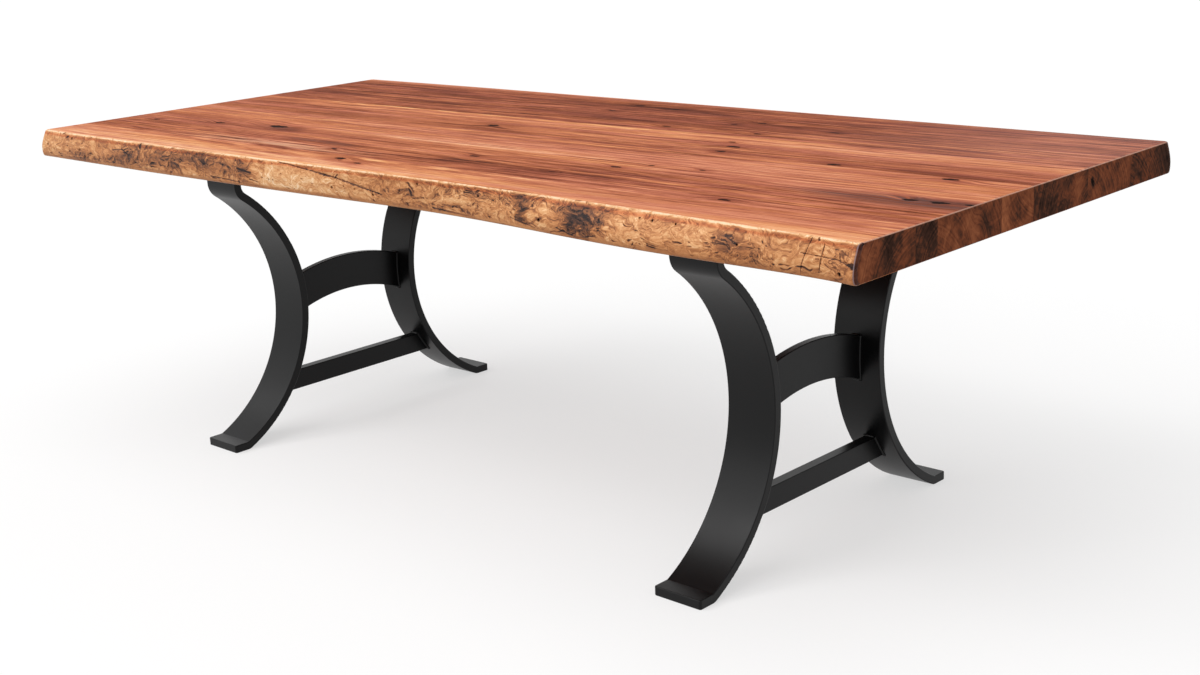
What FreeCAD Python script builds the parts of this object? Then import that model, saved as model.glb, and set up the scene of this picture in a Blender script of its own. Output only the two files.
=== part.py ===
import FreeCAD, Part
import math
import os

import Sketcher

# Live edge dining table.
# Frame: +X runs along the table, +Y across it from the front live edge to the back one and +Z up.
# The origin is on the floor, in the middle of the table.  Millimetres.

doc = FreeCAD.newDocument("live_edge_dining_table")


# ---------------------------------------------------------------- driving sizes

SIZES = {
    # the top as a whole
    "top_length": 2438.0,
    "top_width": 1118.0,
    "top_height": 762.0,
    "top_thickness": 63.5,
    "end_rounding": 3.0,
    # glue joints: the first one measured from the middle of the table, then the board widths
    "first_joint": 392.0,
    "second_board_width": 64.0,
    "third_board_width": 197.0,
    "fourth_board_width": 106.0,
    "fifth_board_width": 195.0,
    "sixth_board_width": 166.0,
    # section of a live edge: how far down the thickness its shoulder and belly lie, how much of
    # the flare the shoulder has, and how far the underside tucks back in
    "shoulder_drop_share": 0.39,
    "shoulder_flare_share": 0.72,
    "belly_drop_share": 0.8,
    "under_tuck": 4.0,
    # bases
    "base_offset": 726.0,
    "bar_width": 113.0,
    "bar_thickness": 19.0,
    "foot_length": 37.0,
    "foot_bend_reach": 381.0,
    "foot_bend_radius": 5.0,
    "waist_reach": 183.0,
    "shoulder_reach": 342.0,
    "shoulder_radius": 23.0,
    "neck_length": 50.0,
    "bar_rounding": 2.0,
    "foot_corner_radius": 5.0,
    # the arched rail and the straight one below it
    "arch_over_waist": 33.0,
    "arch_depth": 88.0,
    "arch_radius": 481.0,
    "arch_thickness": 18.0,
    "rail_bottom": 97.0,
    "rail_depth": 49.0,
    "rail_thickness": 25.0,
    "rail_bevel": 1.5,
    # the plate that a base is bolted up with
    "plate_length": 900.0,
    "plate_width": 120.0,
    "plate_thickness": 10.0,
    "plate_corner_radius": 12.0,
    "slot_clearance": 2.0,
    "slot_travel": 12.0,
    "bolt_side_inset": 22.0,
    "bolt_end_inset": 30.0,
    "inner_bolt_row": 150.0,
    # bolts, washers and threaded inserts
    "bolt_diameter": 8.0,
    "thread_engagement": 23.4,
    "head_across_flats": 13.0,
    "head_height": 5.3,
    "washer_diameter": 18.0,
    "washer_clearance": 0.4,
    "washer_thickness": 1.6,
    "insert_diameter": 14.0,
    "insert_length": 24.0,
    "insert_bore_spare": 6.0,
}

# Sizes that follow from those above.  A leg's outer face is one hollow sweep.  Its circle touches
# the line at waist_reach, the foot bend's circle, which lies inside it, and the shoulder's, which
# lies outside it.  That gives the height of the waist and the radius of the sweep.
DERIVED_SIZES = {
    "underside": "top_height - top_thickness",
    "plate_bottom": "underside - plate_thickness",
    "foot_reach": "foot_bend_reach + foot_length",
    "foot_bend_up": "bar_thickness + foot_bend_radius",
    "shoulder_outer_radius": "shoulder_radius + bar_thickness",
    "shoulder_bend_across": "shoulder_reach - shoulder_outer_radius",
    "shoulder_bend_up": "plate_bottom - neck_length",
    "bend_rise": "shoulder_bend_up - foot_bend_up",
    "foot_span": "foot_bend_reach - waist_reach - foot_bend_radius",
    "foot_power": "(foot_bend_reach - waist_reach)^2 - foot_bend_radius^2",
    "shoulder_span": "shoulder_reach - waist_reach",
    "shoulder_power": "(shoulder_bend_across - waist_reach)^2 - shoulder_outer_radius^2",
    "waist_term": "foot_span * (bend_rise^2 + shoulder_power) - shoulder_span * foot_power",
    "waist_root": "sqrt((foot_span * bend_rise)^2 + (shoulder_span - foot_span) * waist_term)",
    "waist_height": "foot_bend_up + waist_term / (foot_span * bend_rise + waist_root)",
    "sweep_radius": "((waist_height - foot_bend_up)^2 + foot_power) / (2 * foot_span)",
    "inner_sweep_radius": "sweep_radius + bar_thickness",
    "sweep_across": "waist_reach + sweep_radius",
    "arch_centre_up": "waist_height + arch_over_waist - arch_radius",
    "bolt_column": "plate_width / 2 - bolt_side_inset",
    "outer_bolt_row": "plate_length / 2 - bolt_end_inset",
    "slot_width": "bolt_diameter + slot_clearance",
    "bolt_length": "washer_thickness + plate_thickness + thread_engagement",
    "washer_bottom": "plate_bottom - washer_thickness",
}

# Each live edge at nine even stations from the left end to the right one: how far its top corner
# lies inside the table's widest line, and how far the wood flares out again below that.
FRONT_INSETS = (53.0, 46.0, 45.0, 48.0, 53.0, 55.0, 48.0, 34.0, 16.0)
FRONT_FLARES = (17.0, 13.0, 12.0, 9.0, 5.0, 6.0, 25.0, 23.0, 18.0)
BACK_INSETS = (18.0, 19.0, 24.0, 31.0, 36.0, 43.0, 49.0, 55.0, 62.0)
BACK_FLARES = (18.0, 16.0, 14.0, 17.0, 19.0, 16.0, 14.0, 17.0, 17.0)
STATIONS = len(FRONT_INSETS)

# Spare length and width of the tools that cut one piece from another.
TOOL_SPARE = 10.0

sheet = doc.addObject("Spreadsheet::Sheet", "Sizes")


def add_size(row, name, content):
    """Write one size into the sheet under its own alias."""
    sheet.set("A%d" % row, name)
    sheet.set("B%d" % row, content)
    sheet.setAlias("B%d" % row, name)


def station_sizes():
    """The live edges' sizes, one name for each station."""
    sizes = {}
    for station in range(STATIONS):
        sizes["front_inset_%d" % station] = FRONT_INSETS[station]
        sizes["front_flare_%d" % station] = FRONT_FLARES[station]
        sizes["back_inset_%d" % station] = BACK_INSETS[station]
        sizes["back_flare_%d" % station] = BACK_FLARES[station]
    return sizes


SIZES.update(station_sizes())
for row, (name, value) in enumerate(SIZES.items(), start=1):
    add_size(row, name, repr(value))
for row, (name, formula) in enumerate(DERIVED_SIZES.items(), start=len(SIZES) + 1):
    add_size(row, name, "=" + formula)
doc.recompute()


def size(formula):
    """The value of a formula in the sheet's sizes, in millimetres."""
    return float(sheet.evalExpression(formula))


def sheet_formula(formula):
    """The same formula, with each size's name led by the sheet's, as other objects write it."""
    words = []
    word = ""
    for letter in formula + " ":
        if letter.isalnum() or letter == "_":
            word += letter
            continue
        is_size = word in SIZES or word in DERIVED_SIZES
        words.append("Sizes." + word if is_size else word)
        words.append(letter)
        word = ""
    return "".join(words).strip()


def tie(thing, prop, formula):
    """Bind one property of an object to a formula in the sheet's sizes."""
    thing.setExpression(prop, sheet_formula(formula))


# ---------------------------------------------------------------- sketches and bodies

def new_body(label, place=("0", "0", "0"), half_turn=False):
    """A body with its origin at a place given by three formulas, turned about Z if asked."""
    body = doc.addObject("PartDesign::Body", label)
    body.Label = label
    turn = FreeCAD.Rotation(FreeCAD.Vector(0, 0, 1), 180 if half_turn else 0)
    body.Placement = FreeCAD.Placement(FreeCAD.Vector(0, 0, 0), turn)
    for axis, formula in zip("xyz", place):
        tie(body, "Placement.Base." + axis, formula)
    return body


def new_sketch(body, plane, name, offset="0"):
    """A sketch on one of a body's own origin planes, moved along the plane's normal."""
    sketch = body.newObject("Sketcher::SketchObject", name)
    support = [face for face in body.Origin.OriginFeatures if face.Role == plane][0]
    sketch.AttachmentSupport = [(support, "")]
    sketch.MapMode = "FlatFace"
    tie(sketch, "AttachmentOffset.Base.z", offset)
    return sketch


def dimension(sketch, name, formula, kind, *places):
    """One driving dimension of a sketch, tied to the sheet."""
    index = sketch.addConstraint(Sketcher.Constraint(kind, *places, size(formula)))
    sketch.renameConstraint(index, name)
    tie(sketch, "Constraints." + name, formula)


ORIGIN = (-1, 1)
START, END, CENTRE = 1, 2, 3


def coordinate(sketch, name, point, across=None, up=None):
    """Dimension a point of a sketch from the sketch's origin."""
    if across:
        dimension(sketch, name + "_across", across, "DistanceX", *ORIGIN, *point)
    if up:
        dimension(sketch, name + "_up", up, "DistanceY", *ORIGIN, *point)


def add_polygon(sketch, name, corners):
    """A closed polygon whose corners are pairs of formulas."""
    points = [FreeCAD.Vector(size(across), size(up), 0) for across, up in corners]
    sides = []
    for index, point in enumerate(points):
        following = points[(index + 1) % len(points)]
        sides.append(sketch.addGeometry(Part.LineSegment(point, following), False))
    for index, side in enumerate(sides):
        following = sides[(index + 1) % len(sides)]
        sketch.addConstraint(Sketcher.Constraint("Coincident", side, END, following, START))
    for index, (across, up) in enumerate(corners):
        coordinate(sketch, "%s_%d" % (name, index), (sides[index], START), across, up)


def add_circle(sketch, name, across, up, diameter):
    """A circle with its centre and diameter tied to the sheet."""
    centre = FreeCAD.Vector(size(across), size(up), 0)
    circle = Part.Circle(centre, FreeCAD.Vector(0, 0, 1), size(diameter) / 2)
    index = sketch.addGeometry(circle, False)
    coordinate(sketch, name, (index, CENTRE), across, up)
    dimension(sketch, name + "_diameter", diameter, "Diameter", index)


def arc_between(centre, radius, start, end):
    """The arc of a circle between two of its points, counterclockwise from start to end."""
    first = math.atan2(start.y - centre.y, start.x - centre.x)
    last = math.atan2(end.y - centre.y, end.x - centre.x)
    circle = Part.Circle(centre, FreeCAD.Vector(0, 0, 1), radius)
    return Part.ArcOfCircle(circle, first, last)


def add_pad(body, sketch, length, symmetric=False):
    """Extrude a sketch by a length from the sheet."""
    pad = body.newObject("PartDesign::Pad", "Pad")
    pad.Profile = sketch
    pad.SideType = "Symmetric" if symmetric else "One side"
    tie(pad, "Length", length)
    doc.recompute()
    return pad


def add_pocket(body, sketch, depth):
    """Cut a sketch on the bottom plane up into a body."""
    before = body.Shape.Volume
    pocket = body.newObject("PartDesign::Pocket", "Pocket")
    pocket.Profile = sketch
    pocket.Reversed = True
    tie(pocket, "Length", depth)
    doc.recompute()
    if not body.Shape.Volume < before:
        raise RuntimeError(body.Label + ": a pocket cuts nothing")
    return pocket


def chosen_edges(body, choose):
    """The body's latest feature and the names of the edges that choose(edge) picks from it."""
    base = body.Tip
    names = ["Edge%d" % (index + 1) for index, edge in enumerate(base.Shape.Edges) if choose(edge)]
    return base, names


def add_fillet(body, radius, choose):
    """Round the edges that choose(edge) picks from the body's latest shape."""
    base = chosen_edges(body, choose)
    fillet = body.newObject("PartDesign::Fillet", "Fillet")
    fillet.Base = base
    tie(fillet, "Radius", radius)
    doc.recompute()
    return fillet


def add_chamfer(body, width, choose):
    """Bevel the edges that choose(edge) picks from the body's latest shape."""
    base = chosen_edges(body, choose)
    chamfer = body.newObject("PartDesign::Chamfer", "Chamfer")
    chamfer.Base = base
    tie(chamfer, "Size", width)
    doc.recompute()
    return chamfer


def lies_at(edge, axis, value):
    """Whether a whole edge lies in a plane across one axis."""
    box = edge.BoundBox
    low, high = getattr(box, axis + "Min"), getattr(box, axis + "Max")
    return abs(low - value) < 1e-4 and abs(high - value) < 1e-4


# ---------------------------------------------------------------- the top's boards

BOARD_WIDTHS = (
    "second_board_width",
    "third_board_width",
    "fourth_board_width",
    "fifth_board_width",
    "sixth_board_width",
)
BOLT_ROWS = ("-outer_bolt_row", "-inner_bolt_row", "inner_bolt_row", "outer_bolt_row")


BOLT_COLUMNS = ("-bolt_column", "bolt_column")
BASE_PLACES = {"left": "-base_offset", "right": "base_offset"}


def add_insert_bores(body, near_side, far_side, half_turn=False):
    """Bore a board from below for the threaded inserts of the bolt rows that reach it."""
    reach = "insert_diameter / 2"
    rows = []
    for row in BOLT_ROWS:
        if size(near_side) < size(row + " + " + reach) and size(row + " - " + reach) < size(far_side):
            rows.append(row)
    if not rows:
        return
    sketch = new_sketch(body, "XY_Plane", "insert_bores")
    for row in rows:
        across = "%s - (%s)" % (far_side, row) if half_turn else "%s - (%s)" % (row, near_side)
        for base_place in BASE_PLACES.values():
            for column in BOLT_COLUMNS:
                along = "%s + (%s)" % (base_place, column)
                along = "-(%s)" % along if half_turn else along
                name = "bore_%d" % sketch.GeometryCount
                add_circle(sketch, name, along, across, "insert_diameter")
    add_pocket(body, sketch, "insert_length + insert_bore_spare")


def round_board_ends(body):
    """Ease the top and bottom corners of a board's two cut ends."""
    half_length = size("top_length / 2")

    def across_an_end(edge):
        box = edge.BoundBox
        level = abs(box.ZMax - box.ZMin) < 1e-4
        return level and (lies_at(edge, "X", half_length) or lies_at(edge, "X", -half_length))

    add_fillet(body, "end_rounding", across_an_end)


def make_inner_board(label, near_side, width):
    """A straight board between two glue joints, with square edges."""
    body = new_body(label, ("0", near_side, "underside"))
    outline = new_sketch(body, "XY_Plane", "outline")
    half = "top_length / 2"
    corners = [("-" + half, "0"), (half, "0"), (half, width), ("-" + half, width)]
    add_polygon(outline, "corner", corners)
    add_pad(body, outline, "top_thickness")
    round_board_ends(body)
    add_insert_bores(body, near_side, "%s + %s" % (near_side, width))
    return body


def add_live_edge(body, side, board_width, station_order):
    """Cut the wandering live edge: a loft through one waste section at each station."""
    sections = []
    pitch = "(top_length + %s) / %d" % (2 * TOOL_SPARE, STATIONS - 1)
    for position, station in enumerate(station_order):
        along = "(%d) * %s" % (position - (STATIONS - 1) // 2, pitch)
        section = new_sketch(body, "YZ_Plane", "%s_section_%d" % (side, station), along)
        corner = "%s - %s_inset_%d" % (board_width, side, station)
        flare = "%s_flare_%d" % (side, station)
        waste = "%s + 2 * %s" % (board_width, TOOL_SPARE)
        add_polygon(section, "edge", [
            (corner, "top_thickness"),
            (
                "%s + shoulder_flare_share * %s" % (corner, flare),
                "top_thickness * (1 - shoulder_drop_share)",
            ),
            ("%s + %s" % (corner, flare), "top_thickness * (1 - belly_drop_share)"),
            ("%s + %s - under_tuck" % (corner, flare), "0"),
            (waste, "0"),
            (waste, "top_thickness"),
        ])
        sections.append(section)
    loft = body.newObject("PartDesign::SubtractiveLoft", "live_edge")
    loft.Profile = sections[0]
    loft.Sections = sections[1:]
    loft.Ruled = False
    doc.recompute()
    return loft


def make_live_edge_board(label, side, joint, half_turn):
    """A board with one straight glued side, on its own X axis, and one live edge.

    The front board is the same kind of board turned half round, so its stations run backwards.
    """
    board_width = "(top_width / 2 - abs(%s))" % joint
    body = new_body(label, ("0", joint, "underside"), half_turn)
    outline = new_sketch(body, "XY_Plane", "outline")
    half = "top_length / 2"
    rough_width = "%s + %s" % (board_width, TOOL_SPARE)
    corners = [("-" + half, "0"), (half, "0"), (half, rough_width), ("-" + half, rough_width)]
    add_polygon(outline, "corner", corners)
    add_pad(body, outline, "top_thickness")
    order = range(STATIONS)
    add_live_edge(body, side, board_width, list(reversed(order)) if half_turn else list(order))
    round_board_ends(body)
    if half_turn:
        add_insert_bores(body, "-top_width / 2", joint, half_turn)
    else:
        add_insert_bores(body, joint, "top_width / 2")
    return body


def make_top():
    """All the boards of the top, from the front live edge to the back one."""
    joint = "-first_joint"
    boards = [make_live_edge_board("front_live_edge_board", "front", joint, True)]
    for number, width in enumerate(BOARD_WIDTHS, start=1):
        boards.append(make_inner_board("inner_board_%d" % number, joint, width))
        joint = "%s + %s" % (joint, width)
    boards.append(make_live_edge_board("back_live_edge_board", "back", joint, False))
    return boards


# ---------------------------------------------------------------- bases

# Every base member is drawn on the YZ plane, across being the distance out from the middle of the
# table.


def sweep_centre():
    """The centre of a leg's sweep, as drawn on the YZ plane."""
    return FreeCAD.Vector(size("sweep_across"), size("waist_height"), 0)


def leg_points():
    """The tangent points and arc centres of a leg's outline, worked out from the sheet's sizes."""
    vector = FreeCAD.Vector
    radius = size("sweep_radius")
    thickness = size("bar_thickness")
    reach = size("shoulder_reach")
    tip = size("foot_reach")
    top = size("plate_bottom")
    sweep = sweep_centre()
    foot = vector(size("foot_bend_reach"), size("foot_bend_up"), 0)
    shoulder = vector(size("shoulder_bend_across"), size("shoulder_bend_up"), 0)
    foot_direction = (foot - sweep).normalize()
    shoulder_direction = (shoulder - sweep).normalize()
    return {
        "sweep": sweep,
        "foot": foot,
        "shoulder": shoulder,
        "tip_top": vector(tip, thickness, 0),
        "foot_top": vector(foot.x, thickness, 0),
        "sweep_low": sweep + foot_direction * radius,
        "sweep_high": sweep + shoulder_direction * radius,
        "shoulder_outer": vector(reach, shoulder.y, 0),
        "top_outer": vector(reach, top, 0),
        "top_inner": vector(reach - thickness, top, 0),
        "shoulder_inner": vector(reach - thickness, shoulder.y, 0),
        "inner_high": sweep + shoulder_direction * (radius + thickness),
        "inner_low": sweep + foot_direction * (radius + thickness),
        "foot_under": vector(foot.x, 0, 0),
        "tip_under": vector(tip, 0, 0),
    }


def draw_leg_outline(sketch):
    """The bent bar seen from the end: flat foot, long hollow sweep, shoulder and upright top."""
    points = leg_points()

    def line(start, end):
        return sketch.addGeometry(Part.LineSegment(points[start], points[end]), False)

    def arc(centre, start, end):
        radius = (points[start] - points[centre]).Length
        shape = arc_between(points[centre], radius, points[start], points[end])
        return sketch.addGeometry(shape, False)

    foot_top = line("tip_top", "foot_top")
    foot_bend = arc("foot", "sweep_low", "foot_top")
    sweep = arc("sweep", "sweep_high", "sweep_low")
    shoulder = arc("shoulder", "sweep_high", "shoulder_outer")
    outer_upright = line("shoulder_outer", "top_outer")
    top = line("top_outer", "top_inner")
    inner_upright = line("top_inner", "shoulder_inner")
    inner_shoulder = arc("shoulder", "inner_high", "shoulder_inner")
    inner_sweep = arc("sweep", "inner_high", "inner_low")
    under_bend = arc("foot", "inner_low", "foot_under")
    underside = line("foot_under", "tip_under")
    tip = line("tip_under", "tip_top")

    tangents = [
        (foot_top, END, foot_bend, END),
        (foot_bend, START, sweep, END),
        (sweep, START, shoulder, START),
        (shoulder, END, outer_upright, START),
        (inner_upright, END, inner_shoulder, END),
        (inner_shoulder, START, inner_sweep, START),
        (inner_sweep, END, under_bend, START),
        (under_bend, END, underside, START),
    ]
    for tangent in tangents:
        sketch.addConstraint(Sketcher.Constraint("Tangent", *tangent))
    corners = [
        (outer_upright, END, top, START),
        (top, END, inner_upright, START),
        (underside, END, tip, START),
        (tip, END, foot_top, START),
        (foot_bend, CENTRE, under_bend, CENTRE),
        (sweep, CENTRE, inner_sweep, CENTRE),
        (shoulder, CENTRE, inner_shoulder, CENTRE),
    ]
    for corner in corners:
        sketch.addConstraint(Sketcher.Constraint("Coincident", *corner))
    for level in (foot_top, top, underside):
        sketch.addConstraint(Sketcher.Constraint("Horizontal", level))
    for upright in (outer_upright, inner_upright, tip):
        sketch.addConstraint(Sketcher.Constraint("Vertical", upright))

    coordinate(sketch, "sweep_centre", (sweep, CENTRE), "sweep_across", "waist_height")
    dimension(sketch, "sweep_radius", "sweep_radius", "Radius", sweep)
    dimension(sketch, "foot_bend_radius", "foot_bend_radius", "Radius", foot_bend)
    dimension(sketch, "shoulder_radius", "shoulder_radius", "Radius", inner_shoulder)
    coordinate(sketch, "foot_tip", (tip, END), "foot_reach", "bar_thickness")
    coordinate(sketch, "foot_floor", (tip, START), up="0")
    coordinate(sketch, "leg_top", (top, START), "shoulder_reach", "plate_bottom")


def make_leg(label, base_place, half_turn):
    """One leg: a flat bar bent to shape, with eased edges and round corners at the foot."""
    body = new_body(label, (base_place, "0", "0"), half_turn)
    outline = new_sketch(body, "YZ_Plane", "outline")
    draw_leg_outline(outline)
    add_pad(body, outline, "bar_width", symmetric=True)
    half_width = size("bar_width / 2")
    reach = size("foot_reach")
    top = size("plate_bottom")

    def is_foot_corner(edge):
        side = lies_at(edge, "X", half_width) or lies_at(edge, "X", -half_width)
        return side and lies_at(edge, "Y", reach)

    def runs_along_a_side(edge):
        side = lies_at(edge, "X", half_width) or lies_at(edge, "X", -half_width)
        return side and not lies_at(edge, "Z", top)

    add_fillet(body, "foot_corner_radius", is_foot_corner)
    add_fillet(body, "bar_rounding", runs_along_a_side)
    return body


def leg_face_across(height):
    """How far out the legs' inner faces are at a height."""
    centre = sweep_centre()
    return centre.x - math.sqrt(size("inner_sweep_radius") ** 2 - (height - centre.y) ** 2)


def arc_meets_leg(centre_up, radius):
    """Where an arc about the middle of the table meets a leg's inner face, on its upper side."""
    centre = FreeCAD.Vector(0, centre_up, 0)
    inner = size("inner_sweep_radius")
    between = sweep_centre() - centre
    distance = between.Length
    along = (radius ** 2 - inner ** 2 + distance ** 2) / (2 * distance)
    off = math.sqrt(radius ** 2 - along ** 2)
    direction = between.normalize()
    normal = FreeCAD.Vector(-direction.y, direction.x, 0)
    return centre + direction * along + normal * off


def add_member_ends(sketch, low, high):
    """The two arcs that seat a member on the legs' inner faces, between heights low and high."""
    radius = size("inner_sweep_radius")
    centre = sweep_centre()
    mirrored = FreeCAD.Vector(-centre.x, centre.y, 0)
    right = sketch.addGeometry(arc_between(centre, radius, high, low), False)
    far_low, far_high = (FreeCAD.Vector(-point.x, point.y, 0) for point in (low, high))
    left = sketch.addGeometry(arc_between(mirrored, radius, far_low, far_high), False)
    coordinate(sketch, "right_face", (right, CENTRE), "sweep_across", "waist_height")
    coordinate(sketch, "left_face", (left, CENTRE), "-sweep_across", "waist_height")
    dimension(sketch, "right_face_radius", "inner_sweep_radius", "Radius", right)
    dimension(sketch, "left_face_radius", "inner_sweep_radius", "Radius", left)
    return right, left


def join(sketch, *pairs):
    """Make pairs of geometry ends meet."""
    for pair in pairs:
        sketch.addConstraint(Sketcher.Constraint("Coincident", *pair))


def ease_member(body, thickness):
    """Bevel the long edges of a member, leaving the ends square where they are welded."""
    half = size(thickness) / 2
    reach = size("waist_reach + bar_thickness")

    def is_long_edge(edge):
        side = lies_at(edge, "X", half) or lies_at(edge, "X", -half)
        return side and edge.BoundBox.YLength > reach

    add_chamfer(body, "rail_bevel", is_long_edge)


def make_arched_rail(label, base_place):
    """The plate arch between the waists of the legs."""
    body = new_body(label, (base_place, "0", "0"))
    outline = new_sketch(body, "YZ_Plane", "outline")
    over_radius = "arch_radius + arch_depth / 2"
    under_radius = "arch_radius - arch_depth / 2"
    centre = FreeCAD.Vector(0, size("arch_centre_up"), 0)
    high = arc_meets_leg(centre.y, size(over_radius))
    low = arc_meets_leg(centre.y, size(under_radius))
    edges = []
    for name, radius, corner in (("over", over_radius, high), ("under", under_radius, low)):
        mirrored = FreeCAD.Vector(-corner.x, corner.y, 0)
        arc = arc_between(centre, size(radius), corner, mirrored)
        edges.append(outline.addGeometry(arc, False))
        coordinate(outline, name, (edges[-1], CENTRE), "0", "arch_centre_up")
        dimension(outline, name + "_radius", radius, "Radius", edges[-1])
    over, under = edges
    right, left = add_member_ends(outline, low, high)
    join(outline, (over, START, right, START), (right, END, under, START))
    join(outline, (over, END, left, END), (left, START, under, END))
    add_pad(body, outline, "arch_thickness", symmetric=True)
    ease_member(body, "arch_thickness")
    return body


def make_lower_rail(label, base_place):
    """The straight flat bar low down between the legs."""
    body = new_body(label, (base_place, "0", "0"))
    outline = new_sketch(body, "YZ_Plane", "outline")
    rail_top = "rail_bottom + rail_depth"
    low = FreeCAD.Vector(leg_face_across(size("rail_bottom")), size("rail_bottom"), 0)
    high = FreeCAD.Vector(leg_face_across(size(rail_top)), size(rail_top), 0)
    edges = []
    for name, up, corner in (("over", rail_top, high), ("under", "rail_bottom", low)):
        mirrored = FreeCAD.Vector(-corner.x, corner.y, 0)
        edges.append(outline.addGeometry(Part.LineSegment(corner, mirrored), False))
        outline.addConstraint(Sketcher.Constraint("Horizontal", edges[-1]))
        coordinate(outline, name, (edges[-1], START), up=up)
    over, under = edges
    right, left = add_member_ends(outline, low, high)
    join(outline, (over, START, right, START), (right, END, under, START))
    join(outline, (over, END, left, END), (left, START, under, END))
    add_pad(body, outline, "rail_thickness", symmetric=True)
    ease_member(body, "rail_thickness")
    return body


def make_mounting_plate(label, base_place):
    """The plate on top of the legs, with slots that let the wood move across its width."""
    body = new_body(label, (base_place, "0", "plate_bottom"))
    outline = new_sketch(body, "XY_Plane", "outline")
    half_width, half_length = "plate_width / 2", "plate_length / 2"
    add_polygon(outline, "corner", [
        ("-" + half_width, "-" + half_length),
        (half_width, "-" + half_length),
        (half_width, half_length),
        ("-" + half_width, half_length),
    ])
    add_pad(body, outline, "plate_thickness")
    half_x, half_y = size(half_width), size(half_length)

    def is_corner(edge):
        box = edge.BoundBox
        return abs(abs(box.Center.x) - half_x) < 1e-4 and abs(abs(box.Center.y) - half_y) < 1e-4

    add_fillet(body, "plate_corner_radius", is_corner)
    slots = new_sketch(body, "XY_Plane", "slots")
    for row in BOLT_ROWS:
        for column in BOLT_COLUMNS:
            add_slot(slots, "slot_%d" % slots.GeometryCount, column, row)
    add_pocket(body, slots, "plate_thickness")
    return body


def add_slot(sketch, name, across, up):
    """A slot that is long in Y: two half circles and two straight sides."""
    radius = size("slot_width / 2")
    straight = size("slot_travel / 2")
    x, y = size(across), size(up)
    far = FreeCAD.Vector(x, y + straight, 0)
    near = FreeCAD.Vector(x, y - straight, 0)
    side = FreeCAD.Vector(radius, 0, 0)
    far_end = sketch.addGeometry(arc_between(far, radius, far + side, far - side), False)
    near_end = sketch.addGeometry(
        Part.ArcOfCircle(Part.Circle(near, FreeCAD.Vector(0, 0, 1), radius), math.pi, 2 * math.pi),
        False,
    )
    left = sketch.addGeometry(Part.LineSegment(far - side, near - side), False)
    right = sketch.addGeometry(Part.LineSegment(near + side, far + side), False)
    for tangent in (
        (far_end, END, left, START),
        (left, END, near_end, START),
        (near_end, END, right, START),
        (right, END, far_end, START),
    ):
        sketch.addConstraint(Sketcher.Constraint("Tangent", *tangent))
    coordinate(sketch, name + "_far", (far_end, CENTRE), across, up + " + slot_travel / 2")
    coordinate(sketch, name + "_near", (near_end, CENTRE), across, up + " - slot_travel / 2")
    dimension(sketch, name + "_radius", "slot_width / 2", "Radius", far_end)


# ---------------------------------------------------------------- fasteners


def place_by_formula(thing, across, along, up):
    """Tie the place of a primitive to the sheet."""
    for axis, formula in zip("xyz", (across, along, up)):
        tie(thing, "Placement.Base." + axis, formula)


def cylinder(name, diameter, height):
    """A cylinder with its diameter and height tied to the sheet."""
    solid = doc.addObject("Part::Cylinder", name)
    tie(solid, "Radius", "(%s) / 2" % diameter)
    tie(solid, "Height", height)
    return solid


def make_bolt(name):
    """A hexagon bolt, head down, with the face under its head at zero."""
    head = doc.addObject("Part::Prism", name + "_head")
    head.Polygon = 6
    tie(head, "Circumradius", "head_across_flats / 2 / cos(30 * 1deg)")
    tie(head, "Height", "head_height")
    place_by_formula(head, "0", "0", "-head_height")
    shank = cylinder(name + "_shank", "bolt_diameter", "bolt_length")
    bolt = doc.addObject("Part::Fuse", name)
    bolt.Base = head
    bolt.Tool = shank
    return bolt


def make_washer(name):
    """A plain washer standing on zero."""
    disc = cylinder(name + "_disc", "washer_diameter", "washer_thickness")
    bore = cylinder(name + "_bore", "bolt_diameter + washer_clearance", "washer_thickness")
    washer = doc.addObject("Part::Cut", name)
    washer.Base = disc
    washer.Tool = bore
    return washer


def make_insert(name):
    """A threaded insert, its open end at zero, bored through for the bolt."""
    sleeve = cylinder(name + "_sleeve", "insert_diameter", "insert_length")
    bore = cylinder(name + "_bore", "bolt_diameter", "insert_length")
    insert = doc.addObject("Part::Cut", name)
    insert.Base = sleeve
    insert.Tool = bore
    return insert


def make_fastener_group(label, base_place, maker, up):
    """One fastener at every slot of a base, all in one compound."""
    fasteners = []
    for row in BOLT_ROWS:
        for column in BOLT_COLUMNS:
            fastener = maker("%s_%d" % (label, len(fasteners)))
            place_by_formula(fastener, "%s + (%s)" % (base_place, column), row, up)
            fasteners.append(fastener)
    group = doc.addObject("Part::Compound", label)
    group.Label = label
    group.Links = fasteners
    return group


def make_base(side):
    """One base with all that holds it to the top."""
    base_place = BASE_PLACES[side]
    return [
        make_leg(side + "_front_leg", base_place, True),
        make_leg(side + "_back_leg", base_place, False),
        make_arched_rail(side + "_arched_rail", base_place),
        make_lower_rail(side + "_lower_rail", base_place),
        make_mounting_plate(side + "_mounting_plate", base_place),
        make_fastener_group(side + "_mounting_bolts", base_place, make_bolt, "washer_bottom"),
        make_fastener_group(side + "_washers", base_place, make_washer, "washer_bottom"),
        make_fastener_group(side + "_threaded_inserts", base_place, make_insert, "underside"),
    ]


# ---------------------------------------------------------------- build, check and write

nodes = make_top()
for side in BASE_PLACES:
    nodes += make_base(side)
doc.recompute()

for thing in doc.Objects:
    failed = [state for state in thing.State if state in ("Invalid", "Error")]
    if failed:
        raise RuntimeError("%s is %s" % (thing.Label, failed[0]))

for node in nodes:
    if node.Shape.isNull() or not node.Shape.isValid():
        raise RuntimeError(node.Label + " has no valid shape")

os.makedirs("parts", exist_ok=True)
for node in nodes:
    node.Shape.exportStep("parts/%s.step" % node.Label)
    print("%-26s solids %2d  volume %.0f" % (node.Label, len(node.Shape.Solids), node.Shape.Volume))
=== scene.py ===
import functools
import math

import bpy
import numpy as np
from mathutils import Matrix, Vector, noise
from mathutils.bvhtree import BVHTree


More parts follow.
